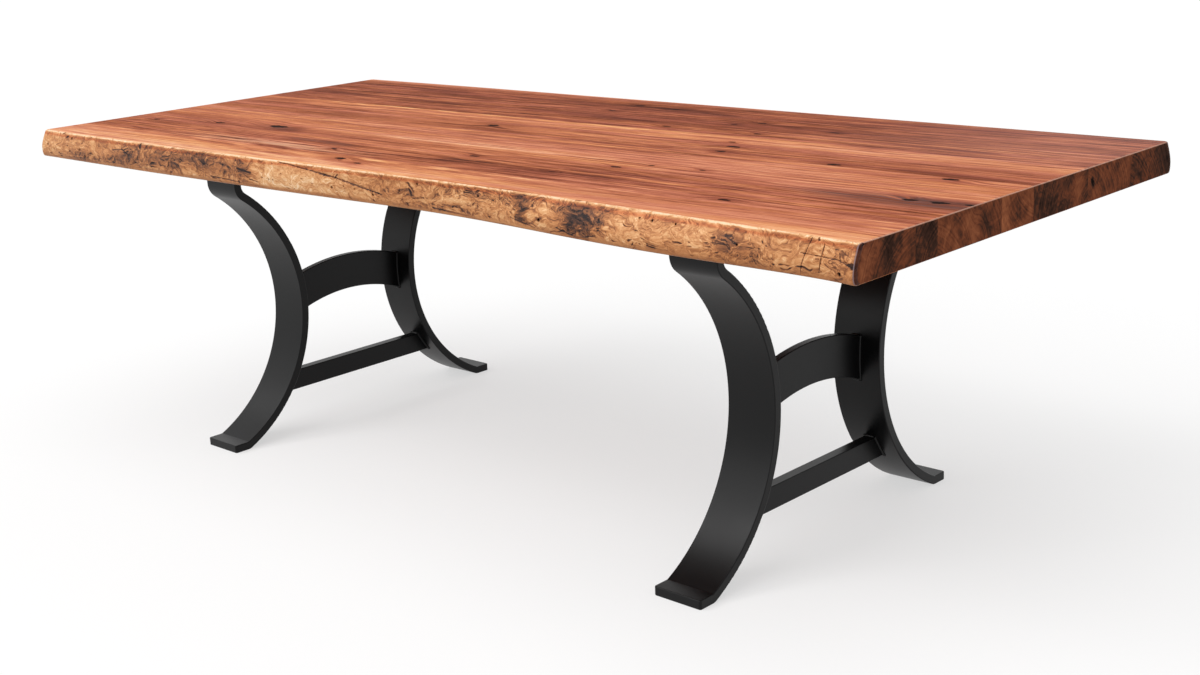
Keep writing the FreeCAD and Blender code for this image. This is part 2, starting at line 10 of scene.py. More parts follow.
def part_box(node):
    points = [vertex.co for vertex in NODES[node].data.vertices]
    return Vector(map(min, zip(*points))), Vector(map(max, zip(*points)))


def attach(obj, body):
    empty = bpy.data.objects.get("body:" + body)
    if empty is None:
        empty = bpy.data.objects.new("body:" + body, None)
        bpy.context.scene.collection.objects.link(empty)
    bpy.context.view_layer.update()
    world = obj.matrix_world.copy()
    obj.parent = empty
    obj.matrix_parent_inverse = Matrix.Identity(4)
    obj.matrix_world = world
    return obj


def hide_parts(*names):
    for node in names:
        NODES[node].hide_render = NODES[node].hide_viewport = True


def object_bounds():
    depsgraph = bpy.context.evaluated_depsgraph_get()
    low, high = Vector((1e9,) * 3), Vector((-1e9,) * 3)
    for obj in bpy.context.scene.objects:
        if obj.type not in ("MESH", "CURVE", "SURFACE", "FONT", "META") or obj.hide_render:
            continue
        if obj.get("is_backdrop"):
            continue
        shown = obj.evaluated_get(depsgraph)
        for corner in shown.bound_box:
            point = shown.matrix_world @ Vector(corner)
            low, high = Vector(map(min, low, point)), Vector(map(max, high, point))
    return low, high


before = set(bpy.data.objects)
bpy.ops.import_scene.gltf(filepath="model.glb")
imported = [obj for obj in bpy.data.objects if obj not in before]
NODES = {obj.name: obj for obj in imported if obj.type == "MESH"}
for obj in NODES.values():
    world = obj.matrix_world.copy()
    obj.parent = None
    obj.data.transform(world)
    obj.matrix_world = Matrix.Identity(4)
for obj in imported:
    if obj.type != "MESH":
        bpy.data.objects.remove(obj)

# Looks of the live edge dining table. Metres, but for the tables that say millimetres, in the
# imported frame: +X along the table, +Y from the front live edge to the back one, +Z up.

CAD_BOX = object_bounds()
MM = 0.001
SIDES = ("left", "right")

BOARD_LOW, BOARD_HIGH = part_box("inner_board_3")
TOP = BOARD_HIGH.z
UNDERSIDE = BOARD_LOW.z
THICKNESS = TOP - UNDERSIDE
HALF_LENGTH = BOARD_HIGH.x


def in_metres(table):
    """A nested table of numbers given in millimetres."""
    if isinstance(table, dict):
        return {key: in_metres(rows) for key, rows in table.items()}
    if isinstance(table, tuple):
        return tuple(in_metres(row) for row in table)
    return table / 1000


# -------- camera

CAMERA_PLACE = Vector((2.5695, -2.5208, 1.3005))
CAMERA_PITCH = 0.27340
CAMERA_YAW = 0.76224
CAMERA_ROLL = -0.04862
CAMERA_LENS = 49.28
SENSOR_WIDTH = 36.0


def make_camera():
    """The photograph's viewpoint: turned left of +Y by the yaw, tilted down and rolled a little."""
    forward = Vector((
        -math.sin(CAMERA_YAW) * math.cos(CAMERA_PITCH),
        math.cos(CAMERA_YAW) * math.cos(CAMERA_PITCH),
        -math.sin(CAMERA_PITCH),
    ))
    level = Vector((math.cos(CAMERA_YAW), math.sin(CAMERA_YAW), 0.0))
    upright = level.cross(forward)
    right = level * math.cos(CAMERA_ROLL) + upright * math.sin(CAMERA_ROLL)
    up = upright * math.cos(CAMERA_ROLL) - level * math.sin(CAMERA_ROLL)
    data = bpy.data.cameras.new("camera")
    data.lens = CAMERA_LENS
    data.sensor_width = SENSOR_WIDTH
    camera = bpy.data.objects.new("camera", data)
    bpy.context.scene.collection.objects.link(camera)
    turn = Matrix((right, up, -forward)).transposed().to_4x4()
    camera.matrix_world = Matrix.Translation(CAMERA_PLACE) @ turn
    bpy.context.scene.camera = camera


# -------- node trees

def linear(*display):
    """A colour given in display values (sRGB, from 0 to 255), as the shaders take it."""
    shares = [value / 255 for value in display]
    channels = [s / 12.92 if s <= 0.04045 else ((s + 0.055) / 1.055) ** 2.4 for s in shares]
    return (*channels, 1.0)


def colour_stops(*stops):
    """Stops of a colour ramp, from rows of a place and a colour in display values."""
    return [(place, linear(*colour)) for place, *colour in stops]


class Nodes:
    """A node tree, emptied, with short methods that add nodes to it."""

    def __init__(self, tree):
        self.tree = tree
        tree.nodes.clear()

    def add(self, kind, inputs=None, **settings):
        """A new node with its settings and its inputs, each a value or another node's output."""
        node = self.tree.nodes.new(kind)
        for name, value in settings.items():
            setattr(node, name, value)
        for name, value in (inputs or {}).items():
            if isinstance(value, bpy.types.NodeSocket):
                self.tree.links.new(value, node.inputs[name])
            else:
                node.inputs[name].default_value = value
        return node

    def math(self, operation, *values):
        inputs = dict(enumerate(values))
        return self.add("ShaderNodeMath", inputs, operation=operation).outputs[0]

    def seen_directly(self):
        """One for camera, mirror and see-through rays, nothing for light that falls on things."""
        path = self.add("ShaderNodeLightPath").outputs
        seen = self.math("MAXIMUM", path["Is Camera Ray"], path["Is Glossy Ray"])
        return self.math("MAXIMUM", seen, path["Is Transmission Ray"])


class Tree(Nodes):
    """A material's node tree, with a short method for each kind of node the table needs."""

    def __init__(self, name, seed=0.0):
        self.material = bpy.data.materials.new(name)
        self.material.use_nodes = True
        super().__init__(self.material.node_tree)
        coordinates = self.add("ShaderNodeTexCoord")
        self.place = coordinates.outputs["Object"]
        self.x, self.y, self.z = self.split(self.place)
        end_on, _, self.upward = self.split(coordinates.outputs["Normal"])
        self.facing = self.math("ABSOLUTE", end_on)
        self.depth = self.minus(TOP, self.z)
        self.seed = seed
        self.seeded = self.vector("ADD", self.place, (seed, seed, seed))

    def split(self, vector):
        return self.add("ShaderNodeSeparateXYZ", {0: vector}).outputs

    def join(self, x=0.0, y=0.0, z=0.0):
        return self.add("ShaderNodeCombineXYZ", {0: x, 1: y, 2: z}).outputs[0]

    def times(self, *values):
        return functools.reduce(functools.partial(self.math, "MULTIPLY"), values)

    def plus(self, *values):
        return functools.reduce(functools.partial(self.math, "ADD"), values)

    def minus(self, first, second):
        return self.math("SUBTRACT", first, second)

    def weigh(self, parts, base, **weights):
        """A base plus the named parts, each times its weight."""
        for name, weight in weights.items():
            base = self.plus(base, self.times(parts[name], weight))
        return base

    def pushed(self, parts, first, first_by, second, second_by):
        """A place in the XY plane, its two numbers pushed by weighted parts."""
        moved = self.weigh(parts, first, **first_by)
        return self.join(moved, self.weigh(parts, second, **second_by))

    def vector(self, operation, *values):
        inputs = dict(enumerate(values))
        node = self.add("ShaderNodeVectorMath", inputs, operation=operation)
        return node.outputs["Value" if operation in ("LENGTH", "DOT_PRODUCT") else "Vector"]

    def scaled(self, vector, *scale):
        return self.vector("MULTIPLY", vector, scale)

    def noise(self, vector, scale=1.0, detail=3.0, roughness=0.5, distortion=0.0):
        """Noise about zero, from about -0.5 to 0.5."""
        inputs = {"Vector": vector, "Scale": scale, "Detail": detail}
        inputs.update(Roughness=roughness, Distortion=distortion)
        return self.minus(self.add("ShaderNodeTexNoise", inputs).outputs["Fac"], 0.5)

    def smooth(self, value, low, high, to_low=0.0, to_high=1.0, shape="SMOOTHSTEP"):
        """A smooth step from to_low at low to to_high at high, or a straight one."""
        inputs = {0: value, 1: low, 2: high, 3: to_low, 4: to_high}
        return self.add("ShaderNodeMapRange", inputs, interpolation_type=shape).outputs[0]

    def blot(self, vector, centre, reach):
        """One at a centre in the XY plane, falling smoothly to nothing at an ellipse's edge."""
        offset = self.vector("SUBTRACT", vector, (*centre, 0.0))
        shares = self.scaled(offset, 1 / reach[0], 1 / reach[1], 0.0)
        return self.smooth(self.vector("LENGTH", shares), 1.0, 0.0)

    def patches(self, vector, table):
        """The blot of each row's first four numbers, centre and reach, with the row's others."""
        for x, y, reach_x, reach_y, *others in table:
            yield (self.blot(vector, (x, y), (reach_x, reach_y)), *others)

    def between(self, share, first, second):
        """A number between two numbers."""
        return self.plus(first, self.times(share, self.minus(second, first)))

    def blend(self, share, first, second, mode="MIX"):
        """A colour between two colours, or a blend of them."""
        inputs = {0: share, 6: first, 7: second}
        node = self.add("ShaderNodeMix", inputs, data_type="RGBA", blend_type=mode)
        return node.outputs[2]

    def ramp(self, value, stops):
        """A colour ramp through (place, colour) pairs, or (place, number) pairs."""
        node = self.add("ShaderNodeValToRGB", {0: value})
        elements = node.color_ramp.elements
        while len(elements) < len(stops):
            elements.new(0.5)
        for element, (place, colour) in zip(elements, stops):
            element.position = place
            element.color = colour if isinstance(colour, tuple) else (colour,) * 3 + (1.0,)
        return node.outputs[0]

    def bump(self, height, distance, strength=1.0):
        inputs = {"Height": height, "Distance": distance, "Strength": strength}
        return self.add("ShaderNodeBump", inputs).outputs[0]

    def finish(self, **inputs):
        """End the tree in a Principled shader and return the material."""
        named = {name.replace("_", " "): value for name, value in inputs.items()}
        shader = self.add("ShaderNodeBsdfPrincipled", named)
        self.add("ShaderNodeOutputMaterial", {0: shader.outputs[0]})
        return self.material


# -------- walnut

# Heartwood to sapwood, from the darkest streaks to the palest edge of the log.
WALNUT_COLOURS = colour_stops(
    (0.0, 30, 16, 13), (0.2, 84, 42, 31), (0.4, 141, 79, 57), (0.55, 182, 111, 83),
    (0.7, 211, 139, 104), (0.85, 232, 169, 126), (1.0, 248, 205, 162),
)

# The end grain is browner.
END_COLOURS = colour_stops(
    (0.0, 28, 20, 18), (0.2, 80, 54, 44), (0.35, 136, 78, 54), (0.65, 198, 122, 82),
    (1.0, 225, 180, 135),
)

# Each board: how far across and above its own middle the log's centre line lies, a seed that picks
# another piece of the noise, its end grain's tone, and its tone at places across it, from the
# front to the back.
BOARDS = {
    "front_live_edge_board": (
        0.11, -0.1, 3.1, 0.29, (-0.53, 0.8), (-0.465, 0.76), (-0.43, 0.63), (-0.392, 0.6),
    ),
    "inner_board_1": (0.07, -0.06, 7.7, 0.25, (-0.392, 0.41), (-0.36, 0.47), (-0.328, 0.49)),
    "inner_board_2": (
        -0.13, -0.09, 12.4, 0.36, (-0.328, 0.48), (-0.22, 0.52), (-0.19, 0.58), (-0.131, 0.6),
    ),
    "inner_board_3": (0.09, 0.08, 19.2, 0.4, (-0.131, 0.56), (-0.025, 0.58)),
    "inner_board_4": (
        0.13, -0.07, 24.9, 0.27, (-0.025, 0.46), (0.09, 0.5), (0.125, 0.65), (0.17, 0.68),
    ),
    "inner_board_5": (-0.12, -0.08, 31.3, 0.35, (0.17, 0.4), (0.336, 0.38)),
    "back_live_edge_board": (
        -0.15, -0.09, 38.8, 0.27, (0.336, 0.38), (0.46, 0.36), (0.5, 0.45), (0.54, 0.7),
    ),
}

# Knots on the top face, in millimetres: along, across and size.
KNOTS = in_metres({
    "front_live_edge_board": ((-152, -424, 12), (-70, -446, 8)),
    "inner_board_1": ((833, -380, 10), (-273, -345, 7)),
    "inner_board_2": (
        (-674, -196, 24), (-876, -224, 13), (-1100, -261, 8), (443, -226, 10), (90, -270, 10),
        (371, -332, 9), (1105, -229, 12), (1160, -227, 14), (1215, -220, 9), (495, -182, 7),
        (618, -177, 6),
    ),
    "inner_board_3": ((-613, -146, 9), (1066, -40, 13)),
    "inner_board_4": ((500, 64, 13), (511, 8, 10), (461, 110, 7), (-192, 51, 14), (800, -12, 11)),
    "inner_board_5": ((192, 215, 9), (444, 216, 7), (584, 299, 8), (316, 299, 7)),
    "back_live_edge_board": ((-89, 445, 11), (34, 430, 11), (360, 342, 9), (-93, 350, 8)),
})

# Shades along the boards: along, across, half length, half width and how much lighter.
SHADES = {
    "front_live_edge_board": (
        (0.108, -0.41, 0.5, 0.014, 0.16), (-0.099, -0.45, 0.13, 0.03, -0.2),
        (0.922, -0.42, 0.4, 0.03, -0.12), (0.75, -0.48, 0.8, 0.07, -0.2),
    ),
    "inner_board_1": ((-0.49, -0.371, 0.5, 0.054, 0.28), (0.34, -0.36, 0.2, 0.04, -0.12)),
    "inner_board_2": (
        (-0.33, -0.3, 0.28, 0.03, -0.34), (0.372, -0.325, 0.25, 0.022, -0.24),
        (-0.1, -0.165, 0.6, 0.04, 0.22), (1.13, -0.238, 0.3, 0.062, -0.26),
        (-0.613, -0.21, 0.12, 0.05, -0.22), (-1.06, -0.165, 0.4, 0.05, -0.24),
    ),
    "inner_board_3": ((-0.6, -0.07, 0.45, 0.05, 0.1), (0.85, -0.129, 0.6, 0.004, 0.3)),
    "inner_board_4": (
        (-0.752, 0.02, 0.5, 0.045, -0.1), (-0.158, 0.0, 0.3, 0.03, -0.1),
        (0.22, 0.03, 0.4, 0.06, 0.1), (1.033, -0.01, 0.2, 0.03, -0.2),
        (-0.8, 0.085, 0.5, 0.035, -0.12), (-1.1, 0.14, 0.3, 0.06, -0.26),
    ),
    "inner_board_5": (
        (-0.636, 0.262, 0.25, 0.025, -0.16), (0.056, 0.25, 0.2, 0.03, -0.14),
        (0.59, 0.22, 0.3, 0.04, 0.16), (0.923, 0.22, 0.2, 0.02, -0.1),
        (0.4, 0.31, 0.8, 0.06, -0.14), (-1.08, 0.3, 0.25, 0.06, -0.16),
        (1.081, 0.26, 0.4, 0.09, 0.16),
    ),
    "back_live_edge_board": (
        (-0.714, 0.4, 0.3, 0.03, -0.12), (0.003, 0.43, 0.35, 0.02, -0.2),
        (0.75, 0.46, 0.5, 0.06, -0.08), (1.129, 0.4, 0.3, 0.07, 0.16),
    ),
}

# Beige and grey stains: along, across, half length, half width, strength and colour.
STAINS = {
    "inner_board_1": ((-0.49, -0.371, 0.46, 0.044, 0.5, linear(208, 156, 128)),),
    "inner_board_2": (
        (1.1, -0.24, 0.3, 0.06, 0.8, linear(112, 78, 72)),
        (-0.66, -0.21, 0.16, 0.03, 0.3, linear(140, 92, 78)),
        (-0.36, -0.3, 0.2, 0.03, 0.4, linear(124, 84, 74)),
    ),
    "front_live_edge_board": ((0.5, -0.45, 0.3, 0.04, 0.2, linear(200, 140, 108)),),
}

# Patches on the end grain: across, depth, half width, half depth and how much lighter.
END_SHADES = {
    "front_live_edge_board": (
        (-0.53, 0.03, 0.045, 0.06, 0.14), (-0.465, 0.03, 0.03, 0.08, -0.16),
        (-0.42, 0.02, 0.02, 0.05, 0.1),
    ),
    "inner_board_1": ((-0.35, 0.02, 0.03, 0.05, -0.08),),
    "inner_board_2": ((-0.24, 0.03, 0.06, 0.06, 0.07), (-0.175, 0.03, 0.042, 0.034, -0.13)),
    "inner_board_3": ((-0.12, 0.03, 0.02, 0.08, 0.12), (-0.07, 0.035, 0.03, 0.03, -0.1)),
    "inner_board_4": ((0.02, 0.03, 0.05, 0.06, -0.07), (0.14, 0.03, 0.04, 0.08, 0.1)),
    "inner_board_5": ((0.187, 0.028, 0.008, 0.012, -0.5), (0.3, 0.02, 0.06, 0.05, 0.05)),
    "back_live_edge_board": ((0.48, 0.03, 0.06, 0.05, -0.1), (0.545, 0.03, 0.02, 0.05, 0.3)),
}

# Streaks in the grain: how fast they change along and across it, where in the noise they are
# taken from, and the noise's detail and roughness. For the hard-edged ones, between which of its
# values they turn, and from what to what.
STREAKS = {
    "broad": (0.55, 26.0, 0.0, 3.0, 0.55),
    "narrow": (2.4, 95.0, 3.0, 5.0, 0.7),
    "crisp": (2.8, 120.0, 12.0, 4.0, 0.65, -0.05, 0.05, -0.5, 0.5),
    "fine": (6.0, 300.0, 18.0, 4.0, 0.65, -0.06, 0.06, -0.5, 0.5),
    "hairs": (12.0, 420.0, 6.0, 4.0, 0.7),
    "veins": (1.8, 110.0, 9.0, 4.0, 0.6, 0.1, 0.16, 0.0, 1.0),
    "glints": (0.9, 60.0, 15.0, 4.0, 0.6, 0.08, 0.18, 0.0, 1.0),
}

# How much lighter each part of the grain makes the wood, on top of a base.
BASE_TONE = 0.08
TONE_WEIGHTS = {
    "broad": 0.28, "narrow": 0.4, "crisp": 0.09, "fine": 0.14, "hairs": 0.75,
    "cloud": 0.16, "glints": 0.12, "veins": -0.24, "growth": -0.09, "pores": -0.08,
}

# The grain: how far it wanders and ripples across a board, and how far it drifts per metre.
GRAIN_WANDER = 0.035
GRAIN_RIPPLE = 0.0035
GRAIN_DRIFT = 0.006
# Growth rings to a metre, how many the broad streaks push them by, and where their dark starts.
GROWTH_RINGS = 110.0
GROWTH_WAVER = 6.0
GROWTH_START = 0.35
# How fast the clouding and the pores change along, across and down.
CLOUD_SCALE = (2.4, 10.0, 10.0)
PORE_SCALE = (90.0, 1500.0, 1500.0)

# A knot, in shares of its size: how far the grain bends round it and by how much, then its dark
# core and that core's ragged edge.
KNOT_FLOW = (7.0, 3.2)
KNOT_PUSH = 0.9
KNOT_CORE = (1.9, 0.75)
KNOT_RAGGED = 0.9
KNOT_SHADE = 0.14

# How far the clouding and the broad streaks move the edges of shades and stains.
SHADE_WARP = ({"cloud": 0.12}, {"broad": 0.03})

# End grain: rings to a metre, then how much lighter each part of its figure makes it.
END_RINGS = 210.0
END_WEIGHTS = {"rings": 0.26, "blocks": 0.4, "curls": 0.36, "growth": -0.07}

WARM_TINT = linear(255, 244, 222)
COOL_TINT = linear(250, 236, 240)
# A painted sheen: a paler, greyer colour blended in towards the top's back right corner, and how
# much.
PAINTED_SHEEN = linear(190, 150, 146)
PAINTED_SHEEN_SHARE = 0.18
# Painted highlight on the eased arris above the sawn ends, where its rounding catches the light.
PAINTED_ARRIS_HIGHLIGHT = linear(214, 170, 150)
# The finish hardly shines, so that the top doesn't haze over when seen at a low angle.
WOOD_ROUGHNESS = 0.44
WOOD_SPECULAR = 0.002
WOOD_RELIEF = 0.00012


def across_tone(tree, stops, low, high):
    """The tone across a board, as a ramp between its two sides."""
    share = tree.smooth(tree.y, low, high, shape="LINEAR")
    return tree.ramp(share, [((place - low) / (high - low), tone) for place, tone in stops])


def round_knots(tree, knots, radius):
    """The grain's radius bent round the knots, with the shade round them and their cores."""
    shade = 0.0
    cores = 0.0
    face = tree.join(tree.x, tree.y)
    ragged = tree.noise(tree.scaled(tree.seeded, 60.0, 90.0, 1.0))
    for along, across, size in knots:
        flow = tree.blot(face, (along, across), [size * share for share in KNOT_FLOW])
        radius = tree.plus(radius, tree.times(flow, size * KNOT_PUSH))
        shade = tree.plus(shade, flow)
        edge = tree.join(tree.x, tree.plus(tree.y, tree.times(ragged, size * KNOT_RAGGED)))
        core = tree.blot(edge, (along, across), [size * share for share in KNOT_CORE])
        cores = tree.math("MAXIMUM", cores, core)
    return radius, shade, cores


def board_grain(tree, radius):
    """The parts of a board's straight grain by name, each a number at every place."""
    drift = tree.plus(radius, tree.times(tree.x, GRAIN_DRIFT))
    grain = {}
    for kind, (along, across, offset, detail, roughness, *turn) in STREAKS.items():
        place = tree.join(tree.times(tree.x, along), tree.times(drift, across), tree.seed + offset)
        grain[kind] = tree.noise(place, detail=detail, roughness=roughness)
        if turn:
            grain[kind] = tree.smooth(grain[kind], *turn)
    phase = tree.plus(tree.times(radius, GROWTH_RINGS), tree.times(grain["broad"], GROWTH_WAVER))
    grain["growth"] = tree.smooth(tree.math("FRACT", phase), GROWTH_START, 1.0)
    grain["cloud"] = tree.noise(tree.scaled(tree.seeded, *CLOUD_SCALE))
    # pores: short dark dashes along the grain
    pores = tree.noise(tree.scaled(tree.place, *PORE_SCALE), detail=1.0)
    grain["pores"] = tree.smooth(pores, 0.12, 0.24)
    return grain


def end_grain(tree, tone, shades, radius, growth):
    """The colour of a board's sawn ends: rings, broken up by blocks and a curly figure."""
    rings = tree.join(tree.times(radius, END_RINGS), tree.seed)
    blocks = tree.scaled(tree.seeded, 0.0, 24.0, 20.0)
    curls = tree.scaled(tree.seeded, 0.0, 50.0, 50.0)
    figure = {
        "rings": tree.noise(rings, roughness=0.7),
        "blocks": tree.noise(blocks, distortion=1.2),
        "curls": tree.noise(curls, detail=4.0, distortion=2.2),
        "growth": growth,
    }
    tone = tree.weigh(figure, tone, **END_WEIGHTS)
    swirled = tree.pushed(figure, tree.y, {"blocks": 0.03}, tree.depth, {"rings": 0.01})
    for shade, lighter in tree.patches(swirled, shades):
        tone = tree.plus(tone, tree.times(shade, lighter))
    return tree.ramp(tone, END_COLOURS)


def walnut(name):
    """Straight-grained walnut for one board: growth rings about the log's centre line."""
    pith_across, pith_up, seed, end_tone, *tones = BOARDS[name]
    low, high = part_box(name)
    tree = Tree("walnut_" + name, seed)

    # grain that wanders a little along the board and flows round each knot
    wander = tree.noise(tree.scaled(tree.seeded, 1.3, 5.0, 5.0))
    ripple = tree.noise(tree.scaled(tree.seeded, 9.0, 30.0, 30.0), detail=2.0)
    across = tree.plus(tree.y, tree.times(wander, GRAIN_WANDER), tree.times(ripple, GRAIN_RIPPLE))
    pith_y = (low.y + high.y) / 2 + pith_across
    pith_z = (low.z + high.z) / 2 + pith_up
    from_pith = tree.join(0.0, tree.minus(across, pith_y), tree.minus(tree.z, pith_z))
    radius = tree.vector("LENGTH", from_pith)
    radius, knot_shade, knot_cores = round_knots(tree, KNOTS[name], radius)
    grain = board_grain(tree, radius)

    # tone: across the board, then of its grain, its shades and its knots
    tone = tree.plus(across_tone(tree, tones, low.y, high.y), BASE_TONE)
    tone = tree.weigh(grain, tone, **TONE_WEIGHTS)
    streaky = tree.weigh(grain, 0.85, crisp=0.6, fine=0.6)
    warped = tree.pushed(grain, tree.x, SHADE_WARP[0], tree.y, SHADE_WARP[1])
    for shade, lighter in tree.patches(warped, SHADES[name]):
        tone = tree.plus(tone, tree.times(shade, streaky, lighter))
    tone = tree.minus(tone, tree.times(knot_shade, streaky, KNOT_SHADE))
    core = tree.smooth(knot_cores, 0.1, 0.45)
    tone = tree.minus(tone, core)

    # colour: tinted, stained, and a painted paler sheen towards the back right corner
    colour = tree.ramp(tone, WALNUT_COLOURS)
    red = tree.noise(tree.scaled(tree.seeded, 1.2, 34.0, 34.0))
    tint = tree.blend(tree.smooth(red, -0.14, 0.14), WARM_TINT, COOL_TINT)
    colour = tree.blend(1.0, colour, tint, mode="MULTIPLY")
    streaked = tree.plus(1.0, grain["crisp"], grain["fine"])
    for patch, strength, stain in tree.patches(warped, STAINS.get(name, ())):
        share = tree.times(patch, streaked, tree.minus(1.0, core), strength)
        colour = tree.blend(share, colour, stain)
    corner = tree.times(tree.smooth(tree.x, 0.4, 1.1), tree.smooth(tree.y, 0.0, 0.3))
    colour = tree.blend(tree.times(corner, PAINTED_SHEEN_SHARE), colour, PAINTED_SHEEN)

    # the sawn ends are much darker, and the eased arris above them has a painted highlight
    end = tree.smooth(tree.facing, 0.75, 0.97)
    turned = tree.times(tree.smooth(tree.facing, 0.3, 0.5), tree.smooth(tree.facing, 0.98, 0.85))
    upward = tree.smooth(tree.upward, 0.1, 0.3)
    arris_highlight = tree.times(turned, upward, tree.plus(0.7, grain["narrow"]))
    sawn = end_grain(tree, end_tone, END_SHADES[name], radius, grain["growth"])
    colour = tree.blend(end, colour, sawn)
    colour = tree.blend(arris_highlight, colour, PAINTED_ARRIS_HIGHLIGHT)

    return tree.finish(
        Base_Color=colour,
        Roughness=tree.weigh(grain, WOOD_ROUGHNESS, narrow=0.14, pores=0.15),
        Specular_IOR_Level=WOOD_SPECULAR,
        Normal=tree.bump(tree.weigh(grain, 0.0, hairs=0.5, pores=-1.0), WOOD_RELIEF, 0.6),
    )


# -------- live edges

EDGE_COLOURS = colour_stops(
    (0.0, 34, 22, 20), (0.2, 82, 52, 40), (0.4, 138, 87, 56), (0.55, 180, 117, 73),
    (0.7, 211, 147, 96), (0.85, 233, 180, 128), (1.0, 248, 214, 176),
)

# Dark burls and pale patches on the live edges: along, depth below the top, half length, half
# depth and how much lighter.
EDGE_SHADES = {
    "front": (
        (-1.0, 0.056, 0.12, 0.03, -0.3), (-0.882, 0.045, 0.06, 0.03, -0.2),
        # The pale patch at -0.1 along, 0.05 down is painted light on the lower belly, which turns
        # away from the lamps.
        (-0.776, 0.03, 0.13, 0.05, -0.36), (-0.1, 0.05, 0.4, 0.03, 0.12),
        (-0.625, 0.03, 0.14, 0.04, -0.28), (-0.519, 0.02, 0.12, 0.04, -0.3),
        (-0.395, 0.025, 0.1, 0.03, -0.26), (-0.358, 0.035, 0.05, 0.02, -0.2),
        (-0.197, 0.03, 0.14, 0.04, 0.1), (-1.15, 0.04, 0.06, 0.04, 0.06),
        (0.134, 0.025, 0.08, 0.02, -0.16), (0.32, 0.024, 0.16, 0.04, -0.12),
        (0.5, 0.016, 0.3, 0.026, -0.14), (0.264, 0.05, 0.16, 0.012, -0.2),
        (0.466, 0.018, 0.03, 0.026, -0.4), (0.484, 0.04, 0.026, 0.022, -0.4),
        (0.54, 0.03, 0.07, 0.04, -0.1), (0.64, 0.034, 0.1, 0.045, -0.5),
        (0.808, 0.02, 0.15, 0.03, 0.06), (0.975, 0.036, 0.07, 0.036, -0.36),
        (1.033, 0.045, 0.05, 0.02, -0.16), (1.145, 0.02, 0.09, 0.04, -0.08),
    ),
    "back": (
        (-0.9, 0.03, 0.12, 0.03, -0.3), (-0.35, 0.035, 0.2, 0.03, -0.24),
        (0.15, 0.03, 0.1, 0.04, 0.1), (0.6, 0.03, 0.16, 0.035, -0.3),
        (1.0, 0.03, 0.1, 0.03, -0.2),
    ),
}

# Burl eyes ringed with dark lines, in millimetres: along, depth, half length and half depth.
EDGE_EYES = in_metres({
    "front": ((516, 38, 50, 22), (628, 38, 60, 26)),
    "back": ((-900, 30, 50, 24),),
})

# Dark strokes on the live edges, in millimetres: from along and depth, to along and depth, then
# half width. Some of them lie in the drying cracks.
EDGE_STROKES = in_metres({
    "front": (
        (-256, 2, -117, 14, 2.2), (-117, 14, -58, 20, 3), (-58, 20, 71, 40, 2.2),
        (1129, 2, 1120, 30, 1.3), (1120, 30, 1112, 62, 1.1), (1155, 8, 1149, 52, 1.3),
        (1113, 26, 1183, 28, 1.1), (1183, 28, 1215, 36, 1.1), (1186, 18, 1190, 30, 1.6),
        (1170, 62, 1194, 56, 3), (451, 44, 519, 56, 1.4), (578, 48, 629, 58, 2.6),
        (629, 58, 678, 50, 2.2), (168, 40, 200, 36, 1.6), (224, 52, 360, 60, 3),
        (-391, 26, -342, 32, 3.4), (-486, 50, -315, 58, 2.6), (-887, 24, -841, 20, 2.2),
        (-846, 18, -809, 30, 2.4),
    ),
    "back": (
        (-600, 12, -480, 20, 2), (-480, 20, -370, 34, 1.8), (930, 10, 1130, 19, 1.8),
        (50, 30, 120, 50, 2.6),
    ),
})

# Small holes, in millimetres: along, depth below the top, and radius.
HOLES = in_metres({
    "front": (
        (-1185, 32, 3.5), (-1077, 12, 4.2), (-1032, 34, 3.2), (-1007, 47, 2.4), (-279, 40, 2),
        (-265, 40, 2), (-240, 26, 2.2), (-76, 40, 3.6), (-38, 34, 1.8), (-5, 37, 2), (49, 44, 2.6),
        (129, 30, 2), (179, 12, 3), (355, 18, 2.2), (529, 41, 3.6), (770, 12, 2.2), (799, 13, 2.6),
        (852, 13, 2.2), (987, 29, 2.2), (1189, 49, 3.6),
    ),
    "back": (
        (-1020, 22, 3.2), (-730, 35, 2.6), (-310, 18, 3), (220, 37, 3.6), (540, 20, 2.4),
        (860, 31, 3),
    ),
})

# Drying cracks, in millimetres: the half width, then (along, depth) corners.
CRACKS = in_metres({
    "front": (
        (1.6, (-256, 2), (-117, 14), (-58, 20), (17, 31), (71, 40)),
        (1.1, (1128, 6), (1123, 18), (1120, 30), (1115, 50)),
        (1.1, (1155, 10), (1155, 26), (1149, 50)),
        (1.1, (1113, 26), (1147, 27), (1183, 28), (1213, 31)),
        (1.1, (1186, 18), (1190, 30)),
    ),
    "back": (
        (1.4, (-600, 12), (-480, 20), (-370, 34)),
        (1.4, (930, 10), (1020, 16), (1130, 19)),
    ),
})

# Which way each live edge faces, and which piece of the noise its figure comes from.
OUTWARD = {"front": -1.0, "back": 1.0}
EDGE_SEEDS = {"front": 5.0, "back": 47.0}

# The figure is drawn out along the edge, and its places are pushed before it is drawn.
EDGE_STRETCH = (0.6, 0.6, 1.0)
EDGE_SWIRL = 0.09
EDGE_BASE_TONE = 0.66
EDGE_WEIGHTS = {"broad": 0.5, "flow": 0.5, "hairs": 0.85, "slanted": 0.6}
# How strong the contour lines and the gaps between them are, away from the burls and in them.
LINE_WEIGHTS = (0.12, 0.45)
GAP_WEIGHTS = (0.03, 0.16)
EYE_WEIGHT = 0.2
TICK_WEIGHT = 0.5
STROKE_WEIGHT = 0.48
HOLE_WEIGHT = 0.7
# The planed strip along the bottom: how far above the underside it ends and is whole.
STRIP_REACH = (0.012, 0.005)
STRIP_TONE = 0.6
STRIP_SHARE = 0.75
